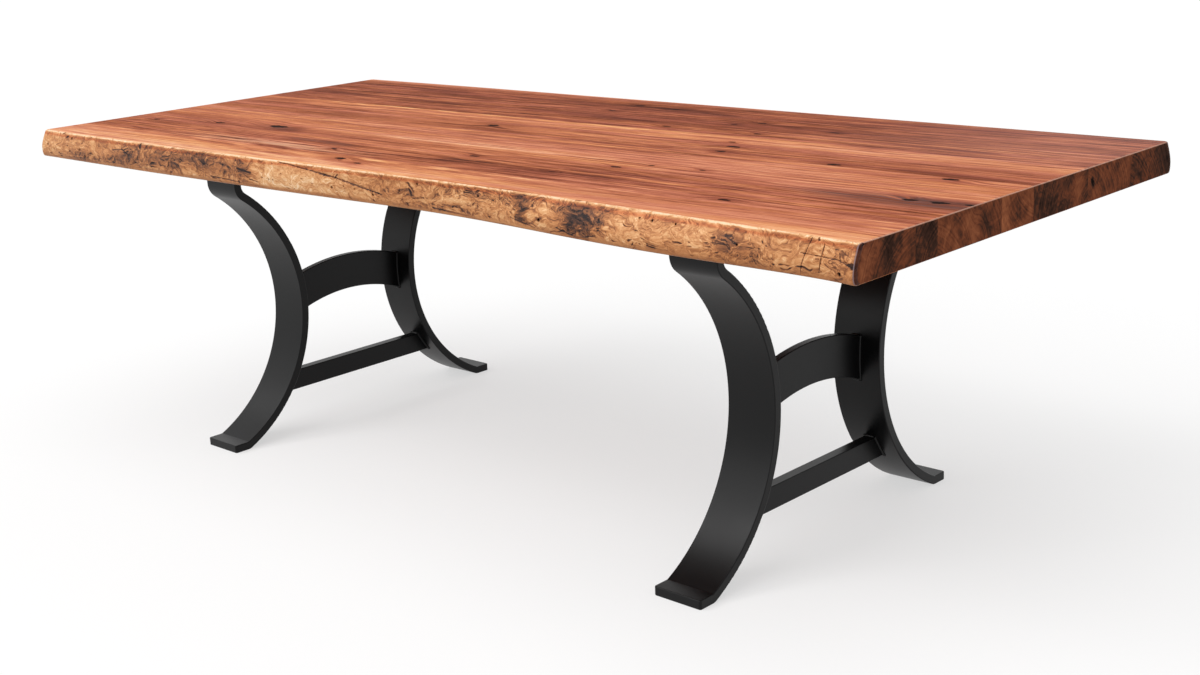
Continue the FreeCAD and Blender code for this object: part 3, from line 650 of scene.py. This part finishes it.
# The corner under the top, paler sapwood with a painted highlight, and the redder line below it.
SAPWOOD_HIGHLIGHT_DEPTHS = (0.0036, 0.0014)
RED_LINE_DEPTH = 0.0075
RED_LINE_REACH = 0.005
RED_LINE = linear(250, 206, 186)
# Corner towards the sawn end: where it starts and is whole, its darkening and painted highlight.
END_CORNER = (0.014, 0.009)
END_CORNER_DARK = linear(110, 86, 92)
END_CORNER_HIGHLIGHT = linear(172, 146, 148)
EDGE_ROUGHNESS = 0.42
EDGE_SPECULAR = 0.15
EDGE_RELIEF = 0.0006


def edge_figure(tree):
    """The parts of a live edge's figure by name, each a number at every place."""
    stretched = tree.scaled(tree.seeded, *EDGE_STRETCH)
    push = tree.noise(stretched, scale=20.0)
    pull = tree.noise(tree.vector("ADD", stretched, (9.0, 4.0, 2.0)), scale=20.0)
    swirl = tree.join(tree.times(push, EDGE_SWIRL), 0.0, tree.times(pull, EDGE_SWIRL))
    curled = tree.vector("ADD", stretched, swirl)
    broad = tree.noise(curled, scale=13.0)
    flow = tree.noise(curled, scale=34.0, detail=4.0, roughness=0.6, distortion=0.8)
    hairs = tree.noise(curled, scale=150.0, roughness=0.65, distortion=1.0)
    # contour lines of the flow curl round the burls
    bands = tree.math("PINGPONG", tree.times(flow, 6.0), 0.5)
    lines = tree.smooth(tree.plus(bands, tree.times(hairs, 0.15)), 0.12, 0.01)
    # short strokes that slant down towards the right
    leaning = tree.join(
        tree.plus(tree.times(tree.x, 9.0), tree.times(tree.z, -32.0)),
        tree.plus(tree.times(tree.z, 150.0), tree.times(tree.x, 34.0), tree.times(push, 9.0)),
        tree.seed,
    )
    # short dark ticks where buds and pins were
    place = tree.scaled(curled, 60.0, 60.0, 130.0)
    cells = tree.add("ShaderNodeTexVoronoi", {"Vector": place, "Scale": 1.0}).outputs
    picked = tree.smooth(tree.split(cells["Color"])[0], 0.62, 0.7)
    return {
        "push": push,
        "pull": pull,
        "broad": broad,
        "flow": flow,
        "hairs": hairs,
        "lines": lines,
        "gaps": tree.smooth(bands, 0.32, 0.5),
        "slanted": tree.noise(leaning, detail=4.0, roughness=0.62),
        "ticks": tree.times(tree.smooth(cells["Distance"], 0.34, 0.14), picked),
    }


def shade_burls(tree, side, figure, tone):
    """The tone with the burls, pale patches and burl eyes, and how much of a burl there is."""
    spread = tree.pushed(figure, tree.x, {"flow": 0.07}, tree.depth, {"broad": 0.035})
    burls = 0.0
    for shade, lighter in tree.patches(spread, EDGE_SHADES[side]):
        tone = tree.plus(tone, tree.times(shade, lighter))
        if lighter < 0:
            burls = tree.math("MAXIMUM", burls, shade)
    tone = tree.minus(tone, tree.times(figure["lines"], tree.between(burls, *LINE_WEIGHTS)))
    tone = tree.plus(tone, tree.times(figure["gaps"], tree.between(burls, *GAP_WEIGHTS)))

    gently = tree.pushed(figure, tree.x, {"push": 0.1}, tree.depth, {"pull": 0.045})
    for along, below, half_length, half_depth in EDGE_EYES[side]:
        offset = tree.vector("SUBTRACT", gently, (along, below, 0.0))
        far = tree.vector("LENGTH", tree.scaled(offset, 1 / half_length, 1 / half_depth, 0.0))
        turns = tree.weigh(figure, tree.times(far, 1.7), flow=0.9, hairs=0.3)
        ring = tree.smooth(tree.math("PINGPONG", turns, 0.5), 0.26, 0.04)
        tone = tree.minus(tone, tree.times(ring, tree.smooth(far, 1.4, 0.6), EYE_WEIGHT))
    return tone, burls


def stroke(tree, vector, x0, y0, x1, y1, half_width):
    """One along the middle of a straight stroke, falling to nothing beside it."""
    start, end = Vector((x0, y0, 0.0)), Vector((x1, y1, 0.0))
    length = (end - start).length
    direction = (end - start) / length
    offset = tree.vector("SUBTRACT", vector, (start + end) / 2)
    far = tree.vector("DOT_PRODUCT", offset, direction)
    beside = tree.vector("DOT_PRODUCT", offset, (-direction.y, direction.x, 0.0))
    past = tree.math("MAXIMUM", tree.minus(tree.math("ABSOLUTE", far), length / 2), 0.0)
    away = tree.vector("LENGTH", tree.join(past, beside))
    return tree.smooth(away, half_width, 0.0)


def mark_edge(tree, side, figure, tone):
    """The tone with the drying cracks, drawn-out dark marks and small holes."""
    tone = tree.minus(tone, tree.times(figure["ticks"], TICK_WEIGHT))
    downwards = {"pull": 0.006, "hairs": 0.004}
    wavered = tree.pushed(figure, tree.x, {"push": 0.006}, tree.depth, downwards)
    strokes = 0.0
    for row in EDGE_STROKES[side]:
        strokes = tree.math("MAXIMUM", strokes, stroke(tree, wavered, *row))
    tone = tree.minus(tone, tree.times(strokes, STROKE_WEIGHT))
    plane = tree.join(tree.x, tree.depth)
    for along, below, radius in HOLES[side]:
        hole = tree.blot(plane, (along, below), (radius * 1.25, radius * 1.25))
        tone = tree.minus(tone, tree.times(tree.smooth(hole, 0.1, 0.6), HOLE_WEIGHT))
    return tone


def live_edge(side):
    """The finished natural edge: burl figure, pin marks and a smoother strip along the bottom."""
    tree = Tree("live_edge_" + side, EDGE_SEEDS[side])
    figure = edge_figure(tree)
    tone = tree.weigh(figure, EDGE_BASE_TONE, **EDGE_WEIGHTS)
    tone, burls = shade_burls(tree, side, figure, tone)
    tone = mark_edge(tree, side, figure, tone)

    # the planed strip is straighter and more orange
    strip = tree.smooth(tree.depth, *[THICKNESS - reach for reach in STRIP_REACH])
    straight = tree.noise(tree.scaled(tree.seeded, 3.0, 60.0, 140.0), detail=4.0, roughness=0.6)
    strip_tone = tree.plus(STRIP_TONE, tree.times(straight, 0.6), tree.times(burls, -0.14))
    tone = tree.between(tree.times(strip, STRIP_SHARE), tone, strip_tone)

    # the corner under the top is palest: sapwood and a painted highlight; a redder line below it
    wavy = tree.weigh(figure, tree.depth, flow=0.004)
    tone = tree.plus(tone, tree.times(tree.smooth(wavy, *SAPWOOD_HIGHLIGHT_DEPTHS), 0.3))
    wavier = tree.weigh(figure, tree.depth, flow=0.008)
    from_line = tree.math("ABSOLUTE", tree.minus(wavier, RED_LINE_DEPTH))
    red_line = tree.smooth(from_line, RED_LINE_REACH, 0.0)
    tone = tree.minus(tone, tree.times(red_line, 0.08))
    colour = tree.ramp(tone, EDGE_COLOURS)
    colour = tree.blend(tree.times(red_line, 0.8), colour, RED_LINE, mode="MULTIPLY")

    # the corner towards the end grain darkens, with a painted highlight line on it
    along = tree.math("ABSOLUTE", tree.x)
    near_end = tree.smooth(along, *[HALF_LENGTH - reach for reach in END_CORNER])
    end = tree.times(tree.smooth(tree.facing, 0.3, 0.7), near_end)
    colour = tree.blend(end, colour, END_CORNER_DARK, mode="MULTIPLY")
    corner_highlight = tree.times(tree.smooth(tree.facing, 0.4, 0.52), tree.smooth(tree.facing, 0.74, 0.62))
    colour = tree.blend(tree.times(corner_highlight, near_end, 0.6), colour, END_CORNER_HIGHLIGHT)

    height = tree.weigh(figure, 0.0, hairs=0.5, lines=-0.5, ticks=-1.5)
    return tree.finish(
        Base_Color=colour,
        Roughness=tree.weigh(figure, EDGE_ROUGHNESS, hairs=0.2, ticks=0.2),
        Specular_IOR_Level=EDGE_SPECULAR,
        Normal=tree.bump(height, EDGE_RELIEF, 0.7),
    )


# -------- live edge boards

STEP_ALONG = 1.5 * MM
# Places along a board, from each sawn end inwards, and how far the even steps stay off it.
END_PLACES = np.array([0.0, 0.15, 0.5, 1.0, 1.7, 2.5, 3.5, 5.0, 6.5, 8.0]) * MM
END_SPAN = 10.0 * MM
EDGE_STEPS = 46
FACE_STEPS = 6
CORNER_RADIUS = 4.0 * MM
END_ROUNDING = 3.0 * MM
END_EDGE_ROUNDING = 10.0 * MM
SHARP_ANGLE = math.radians(40)

# Where a CAD board's live edge is measured: just below the top, at the shoulder, at the belly
# and just above the underside, and at places along it. Then the curves through what is found.
GUIDE_HEIGHTS = [TOP - share * THICKNESS for share in (0.01, 0.39, 0.8, 0.99)]
GUIDE_PLACES = np.linspace(-HALF_LENGTH + 0.006, HALF_LENGTH - 0.006, 60)
GUIDE_DEGREE = 12
SECTION_DEGREE = 3

# The natural surface: how fast its lumps, bumps and grain change along and down, how deep they
# are, and how deep its cracks and holes are.
LUMPS = (11, 24, 1.6 * MM)
BUMPS = (55, 75, 0.5 * MM)
EDGE_GRAIN = (170, 260, 0.18 * MM)
CRACK_DEPTH = 2.2 * MM
CRACK_WAVER = 1.6 * MM
CRACK_MARGIN = 4.0 * MM
HOLE_DEPTH = 5.0 * MM
HOLE_STEEPNESS = 2.2
# The carving fades out this far from the corners, and this far from the sawn ends.
CORNER_FADE = 4.0 * MM
END_FADE = 20.0 * MM


def surface(node):
    """A CAD node's surface, for rays and nearest points."""
    mesh = NODES[node].data
    return BVHTree.FromPolygons(
        [vertex.co for vertex in mesh.vertices], [list(face.vertices) for face in mesh.polygons]
    )


def edge_guides(node, outward, stations):
    """How far out the CAD board's live edge is at the guide heights, smoothly along the table."""
    board = surface(node)
    inward = Vector((0.0, -outward, 0.0))
    guides = []
    for height in GUIDE_HEIGHTS:
        starts = [Vector((along, outward, height)) for along in GUIDE_PLACES]
        reaches = [board.ray_cast(start, inward)[0].y * outward for start in starts]
        curve = np.polynomial.Polynomial.fit(GUIDE_PLACES, reaches, GUIDE_DEGREE)
        guides.append(curve(stations))
    return guides


def rounding(distance, radius):
    """How far a rounded corner of a radius stands back at a distance from the end."""
    if distance >= radius:
        return 0.0
    return radius - math.sqrt(radius ** 2 - (radius - distance) ** 2)


def crack_share(along, below, cracks):
    """How deep the drying cracks are at a place on the live edge, from 0 to 1."""
    waver = CRACK_WAVER * noise.noise(Vector((along * 160, below * 160, 3.0)))
    deepest = 0.0
    for half_width, *corners in cracks:
        for (x0, z0), (x1, z1) in zip(corners, corners[1:]):
            if not min(x0, x1) - CRACK_MARGIN < along < max(x0, x1) + CRACK_MARGIN:
                continue
            length = (x1 - x0) ** 2 + (z1 - z0) ** 2
            share = ((along - x0) * (x1 - x0) + (below - z0) * (z1 - z0)) / length
            share = min(1.0, max(0.0, share))
            near_x, near_z = x0 + share * (x1 - x0), z0 + share * (z1 - z0)
            gap = math.hypot(along - near_x, below - near_z + waver)
            deepest = max(deepest, 1.0 - gap / half_width)
    return deepest


def hole_share(along, below, holes):
    """How deep the small holes are at a place on the live edge, from 0 to 1."""
    deepest = 0.0
    for x, z, radius in holes:
        if abs(along - x) < radius and abs(below - z) < radius:
            gap = math.hypot(along - x, below - z) / radius
            deepest = max(deepest, min(1.0, HOLE_STEEPNESS * (1.0 - gap)))
    return deepest


def carving(along, below, side):
    """How far the natural surface lies inside the smooth one, in metres."""
    seed = 11.0 * OUTWARD[side]
    rate_along, rate_down, depth = LUMPS
    lumps = noise.fractal(Vector((along * rate_along, below * rate_down, seed)), 1.0, 2.0, 3)
    carved = depth * abs(lumps)
    for (rate_along, rate_down, depth), offset in ((BUMPS, 5), (EDGE_GRAIN, 9)):
        place = Vector((along * rate_along, below * rate_down, seed + offset))
        carved += depth * (0.5 + noise.noise(place))
    carved += CRACK_DEPTH * crack_share(along, below, CRACKS[side])
    return carved + HOLE_DEPTH * hole_share(along, below, HOLES[side])


def edge_section(reaches):
    """Points down a live edge, from the top face's corner to the underside's, as (reach, z)."""
    levels = np.array([TOP, GUIDE_HEIGHTS[1], GUIDE_HEIGHTS[2], UNDERSIDE])
    z = TOP - THICKNESS * np.linspace(0.0, 1.0, EDGE_STEPS)
    curve = np.polynomial.Polynomial.fit(levels, reaches, SECTION_DEGREE)
    points = []
    for height, out in zip(z, np.minimum(curve(z), max(reaches))):
        back = rounding(TOP - height, CORNER_RADIUS) + rounding(height - UNDERSIDE, CORNER_RADIUS)
        points.append((out - back, height))
    return points


def along_stations():
    """Places along the board, close together at the rounded ends."""
    reach = HALF_LENGTH - END_SPAN
    middle = np.linspace(-reach, reach, int(2 * reach / STEP_ALONG))
    return np.concatenate([END_PLACES - HALF_LENGTH, middle, HALF_LENGTH - END_PLACES[::-1]])


def quads(rows, count, closed):
    """Faces between rings of so many points each, one ring after another."""
    faces = []
    for row in range(rows if closed else rows - 1):
        after = (row + 1) % rows
        for index in range(count):
            beside = (index + 1) % count
            corners = ((row, index), (row, beside), (after, beside), (after, index))
            faces.append([ring * count + place for ring, place in corners])
    return faces


def smooth_mesh(name, points, faces):
    """A new mesh whose faces are shaded smooth."""
    mesh = bpy.data.meshes.new(name)
    mesh.from_pydata(points, [], faces)
    mesh.polygons.foreach_set("use_smooth", [True] * len(faces))
    return mesh


def loft(name, sections, face_slots):
    """A closed mesh through sections of equal length, with each face's slot down a section."""
    count = len(sections[0])
    last = (len(sections) - 1) * count
    faces = quads(len(sections), count, closed=False)
    faces.append(tuple(range(count))[::-1])
    faces.append(tuple(range(last, last + count)))
    mesh = smooth_mesh(name, [point for section in sections for point in section], faces)
    slots = list(face_slots) * (len(sections) - 1) + [0, 0]
    mesh.polygons.foreach_set("material_index", slots)
    mesh.set_sharp_from_angle(angle=SHARP_ANGLE)
    mesh.validate()
    return mesh


def add_piece(name, mesh, materials):
    """A new piece of the table, riding on its one body."""
    for material in materials:
        mesh.materials.append(material)
    piece = bpy.data.objects.new(name, mesh)
    bpy.context.scene.collection.objects.link(piece)
    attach(piece, "root")
    return piece


def make_live_edge_board(side):
    """A board with its natural edge carved, in place of the CAD one."""
    node = side + "_live_edge_board"
    outward = OUTWARD[side]
    low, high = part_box(node)
    inner = (high.y if outward < 0 else low.y) * outward
    stations = along_stations()
    sections = []
    for along, *reaches in zip(stations, *edge_guides(node, outward, stations)):
        from_end = HALF_LENGTH - abs(along)
        level = rounding(from_end, END_ROUNDING)
        back = rounding(from_end, END_EDGE_ROUNDING)
        squeeze = (THICKNESS - 2 * level) / THICKNESS
        calm = min(1.0, from_end / END_FADE)
        edge = []
        for reach, height in edge_section(reaches):
            below = TOP - height
            fade = min(1.0, below / CORNER_FADE, (height - UNDERSIDE) / CORNER_FADE) * calm
            reach -= back + fade * carving(along, below, side)
            edge.append((reach, UNDERSIDE + level + (height - UNDERSIDE) * squeeze))
        over = np.linspace(inner, edge[0][0], FACE_STEPS)[:-1]
        under = np.linspace(edge[-1][0], inner, FACE_STEPS)[1:]
        section = [(reach, TOP - level) for reach in over] + edge
        section += [(reach, UNDERSIDE + level) for reach in under]
        section = [(along, reach * outward, z) for reach, z in section]
        sections.append(section if outward > 0 else section[::-1])
    count = len(sections[0])
    on_edge = range(FACE_STEPS - 1, FACE_STEPS + EDGE_STEPS - 2)
    slots = [int(index in on_edge) for index in range(count)]
    if outward < 0:
        slots = [slots[(count - 2 - index) % count] for index in range(count)]
    mesh = loft(node + "_dressed", sections, slots)
    piece = add_piece(node + "_dressed", mesh, [walnut(node), live_edge(side)])
    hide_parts(node)


# -------- metal

COAT_COLOURS = colour_stops((0.0, 5, 5, 6), (1.0, 14, 14, 15))
COAT_ROUGHNESS = 0.36
COAT_SPECULAR = 0.2
COAT_RELIEF = 0.00008
PLATING_RELIEF = 0.00003
ZINC = ("zinc_plating", linear(205, 207, 208), linear(160, 164, 168), 0.3)
BRASS = ("brass", linear(206, 174, 104), linear(160, 126, 66), 0.28)


def powder_coat():
    """Satin black powder coat with a fine orange peel."""
    tree = Tree("powder_coat")
    peel = tree.noise(tree.place, scale=620.0, detail=2.0)
    patch = tree.noise(tree.place, scale=9.0)
    grit = tree.noise(tree.place, scale=2600.0, detail=1.0)
    shade = tree.plus(tree.times(patch, 0.25), tree.times(grit, 0.3), 0.5)
    return tree.finish(
        Base_Color=tree.ramp(shade, COAT_COLOURS),
        Roughness=tree.plus(COAT_ROUGHNESS, tree.times(patch, 0.1), tree.times(grit, 0.12)),
        Specular_IOR_Level=COAT_SPECULAR,
        Normal=tree.bump(tree.plus(peel, tree.times(grit, 0.3)), COAT_RELIEF, 0.5),
    )


def plated(name, pale, dark, roughness):
    """Bright metal with faint turning marks and a little dulling."""
    tree = Tree(name)
    patch = tree.noise(tree.place, scale=160.0)
    marks = tree.noise(tree.scaled(tree.place, 400.0, 400.0, 4000.0), detail=2.0)
    return tree.finish(
        Base_Color=tree.ramp(tree.plus(0.5, patch), ((0.2, dark), (0.8, pale))),
        Metallic=1.0,
        Roughness=tree.plus(roughness, tree.times(patch, 0.2)),
        Normal=tree.bump(marks, PLATING_RELIEF, 0.5),
    )


BEAD_RADIUS = 3.7 * MM
BEAD_STEP = 1.4 * MM
BEAD_SIDES = 10
# A bead's thinnest place, in shares of its radius, and what its ripples and its waver add.
BEAD_THINNEST = 0.82
BEAD_RIPPLE = 0.14
BEAD_WAVER = 0.1
RIPPLE_PITCH = 4.2 * MM
WAVER_RATE = 220
TOUCHING = 0.4 * MM


def contact(piece, carrier):
    """The corners of the box round a CAD node's vertices that touch another CAD node."""
    places = [vertex.co for vertex in NODES[piece].data.vertices]
    touching = np.array([co for co in places if carrier.find_nearest(co)[3] < TOUCHING])
    return touching.min(0), touching.max(0)


def spread_round(corners):
    """Even points round a closed chain of straight runs."""
    points = []
    for start, end in zip(corners, corners[1:] + corners[:1]):
        steps = max(1, round((end - start).length / BEAD_STEP))
        points += [start.lerp(end, step / steps) for step in range(steps)]
    return points


def bead_mesh(name, path):
    """A closed weld bead with even ripples along a closed path."""
    count = len(path)
    travelled = 0.0
    points = []
    for index, place in enumerate(path):
        ahead, behind = path[(index + 1) % count], path[index - 1]
        along = (ahead - behind).normalized()
        side = along.orthogonal().normalized()
        other = along.cross(side)
        travelled += (place - behind).length
        ripple = abs(math.sin(math.pi * travelled / RIPPLE_PITCH))
        waver = noise.noise(place * WAVER_RATE)
        radius = BEAD_RADIUS * (BEAD_THINNEST + BEAD_RIPPLE * ripple + BEAD_WAVER * waver)
        for step in range(BEAD_SIDES):
            turn = 2 * math.pi * step / BEAD_SIDES
            points.append(place + radius * (math.cos(turn) * side + math.sin(turn) * other))
    return smooth_mesh(name, points, quads(count, BEAD_SIDES, closed=True))


def rail_bead_path(rail, leg):
    """Round the end of a rail, on the inner face of a leg."""
    face = surface(leg)
    low, high = contact(rail, face)
    toward = Vector((0.0, 1.0 if low[1] > 0 else -1.0, 0.0))
    corners = ((high[0], low[2]), (high[0], high[2]), (low[0], high[2]), (low[0], low[2]))
    path = []
    for place in spread_round([Vector((x, 0.0, z)) for x, z in corners]):
        hit = face.ray_cast(place, toward)[0]
        path.append(Vector((place.x, hit.y, place.z)))
    return path


def leg_top_bead_path(leg, plate):
    """Round the top of a leg, under the mounting plate."""
    low, high = contact(leg, surface(plate))
    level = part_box(plate)[0].z
    corners = ((low[0], low[1]), (high[0], low[1]), (high[0], high[1]), (low[0], high[1]))
    return spread_round([Vector((x, y, level)) for x, y in corners])


def make_weld_beads(material):
    """A bead round each end of the rails and round each leg's top."""
    for side in SIDES:
        for leg in (side + "_front_leg", side + "_back_leg"):
            paths = {
                rail: rail_bead_path("%s_%s" % (side, rail), leg)
                for rail in ("arched_rail", "lower_rail")
            }
            paths["plate"] = leg_top_bead_path(leg, side + "_mounting_plate")
            for joint, path in paths.items():
                name = "%s_%s_weld" % (leg, joint)
                add_piece(name, bead_mesh(name, path), [material])


def dress_node(node, material):
    """Give a CAD node its material."""
    slots = NODES[node].data.materials
    slots.clear()
    slots.append(material)


def dress_bases(coat):
    """Materials of the two bases and their fasteners."""
    zinc = plated(*ZINC)
    brass = plated(*BRASS)
    for side in SIDES:
        for piece in ("front_leg", "back_leg", "arched_rail", "lower_rail", "mounting_plate"):
            dress_node("%s_%s" % (side, piece), coat)
        dress_node(side + "_mounting_bolts", zinc)
        dress_node(side + "_washers", zinc)
        dress_node(side + "_threaded_inserts", brass)


# -------- floor, light and background

FLOOR_REACH = 60.0
FLOOR_COLOUR = (0.42, 0.42, 0.42, 1.0)
FLOOR_GLOW = 0.57
WHITE = (1.0, 1.0, 1.0, 1.0)
AMBIENT = 0.46
# Each lamp: the way its light goes, how wide it is and how strong.
LAMPS = {
    "overhead": (Vector((-0.12, 0.17, -1.0)), math.radians(60), 0.9),
    "front": (Vector((0.3, 0.85, -0.6)), math.radians(50), 1.25),
    "left": (Vector((0.59, 0.42, -0.69)), math.radians(20), 0.5),
}


def make_world():
    """A surrounding that is seen white and lights the object at a plain level."""
    world = bpy.data.worlds.new("surrounding")
    world.use_nodes = True
    tree = Nodes(world.node_tree)
    levels = {"Value": tree.seen_directly(), "To Min": AMBIENT, "To Max": 1.0}
    strength = tree.add("ShaderNodeMapRange", levels).outputs[0]
    background = tree.add("ShaderNodeBackground", {"Color": WHITE, "Strength": strength})
    tree.add("ShaderNodeOutputWorld", {"Surface": background.outputs[0]})
    bpy.context.scene.world = world


def make_floor():
    """A plain pale floor that keeps the object's shadow."""
    mesh = bpy.data.meshes.new("floor")
    ways = ((-1, -1), (1, -1), (1, 1), (-1, 1))
    corners = [(x * FLOOR_REACH, y * FLOOR_REACH, 0) for x, y in ways]
    mesh.from_pydata(corners, [], [(0, 1, 2, 3)])
    material = bpy.data.materials.new("floor")
    material.use_nodes = True
    tree = Nodes(material.node_tree)
    diffuse = tree.add("ShaderNodeBsdfDiffuse", {"Color": FLOOR_COLOUR})
    strength = tree.math("MULTIPLY", tree.seen_directly(), FLOOR_GLOW)
    glow = tree.add("ShaderNodeEmission", {"Strength": strength})
    both = tree.add("ShaderNodeAddShader", {0: diffuse.outputs[0], 1: glow.outputs[0]})
    tree.add("ShaderNodeOutputMaterial", {"Surface": both.outputs[0]})
    mesh.materials.append(material)
    floor = bpy.data.objects.new("floor", mesh)
    bpy.context.scene.collection.objects.link(floor)
    floor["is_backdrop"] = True


def make_lamps():
    """A wide soft light overhead, one from the front and a smaller one from the left."""
    for name, (direction, spread, strength) in LAMPS.items():
        data = bpy.data.lights.new(name, "SUN")
        data.angle = spread
        data.energy = strength
        lamp = bpy.data.objects.new(name, data)
        bpy.context.scene.collection.objects.link(lamp)
        lamp.matrix_world = direction.to_track_quat("-Z", "Y").to_matrix().to_4x4()


# -------- the whole scene

bpy.context.scene.view_settings.view_transform = "Standard"
make_camera()
make_world()
make_floor()
make_lamps()
for board in BOARDS:
    if board.startswith("inner"):
        dress_node(board, walnut(board))
make_live_edge_board("front")
make_live_edge_board("back")
metal = powder_coat()
dress_bases(metal)
make_weld_beads(metal)

boxes = {"cad": CAD_BOX, "visual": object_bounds()}
{name: [list(corner) for corner in box] for name, box in boxes.items()}
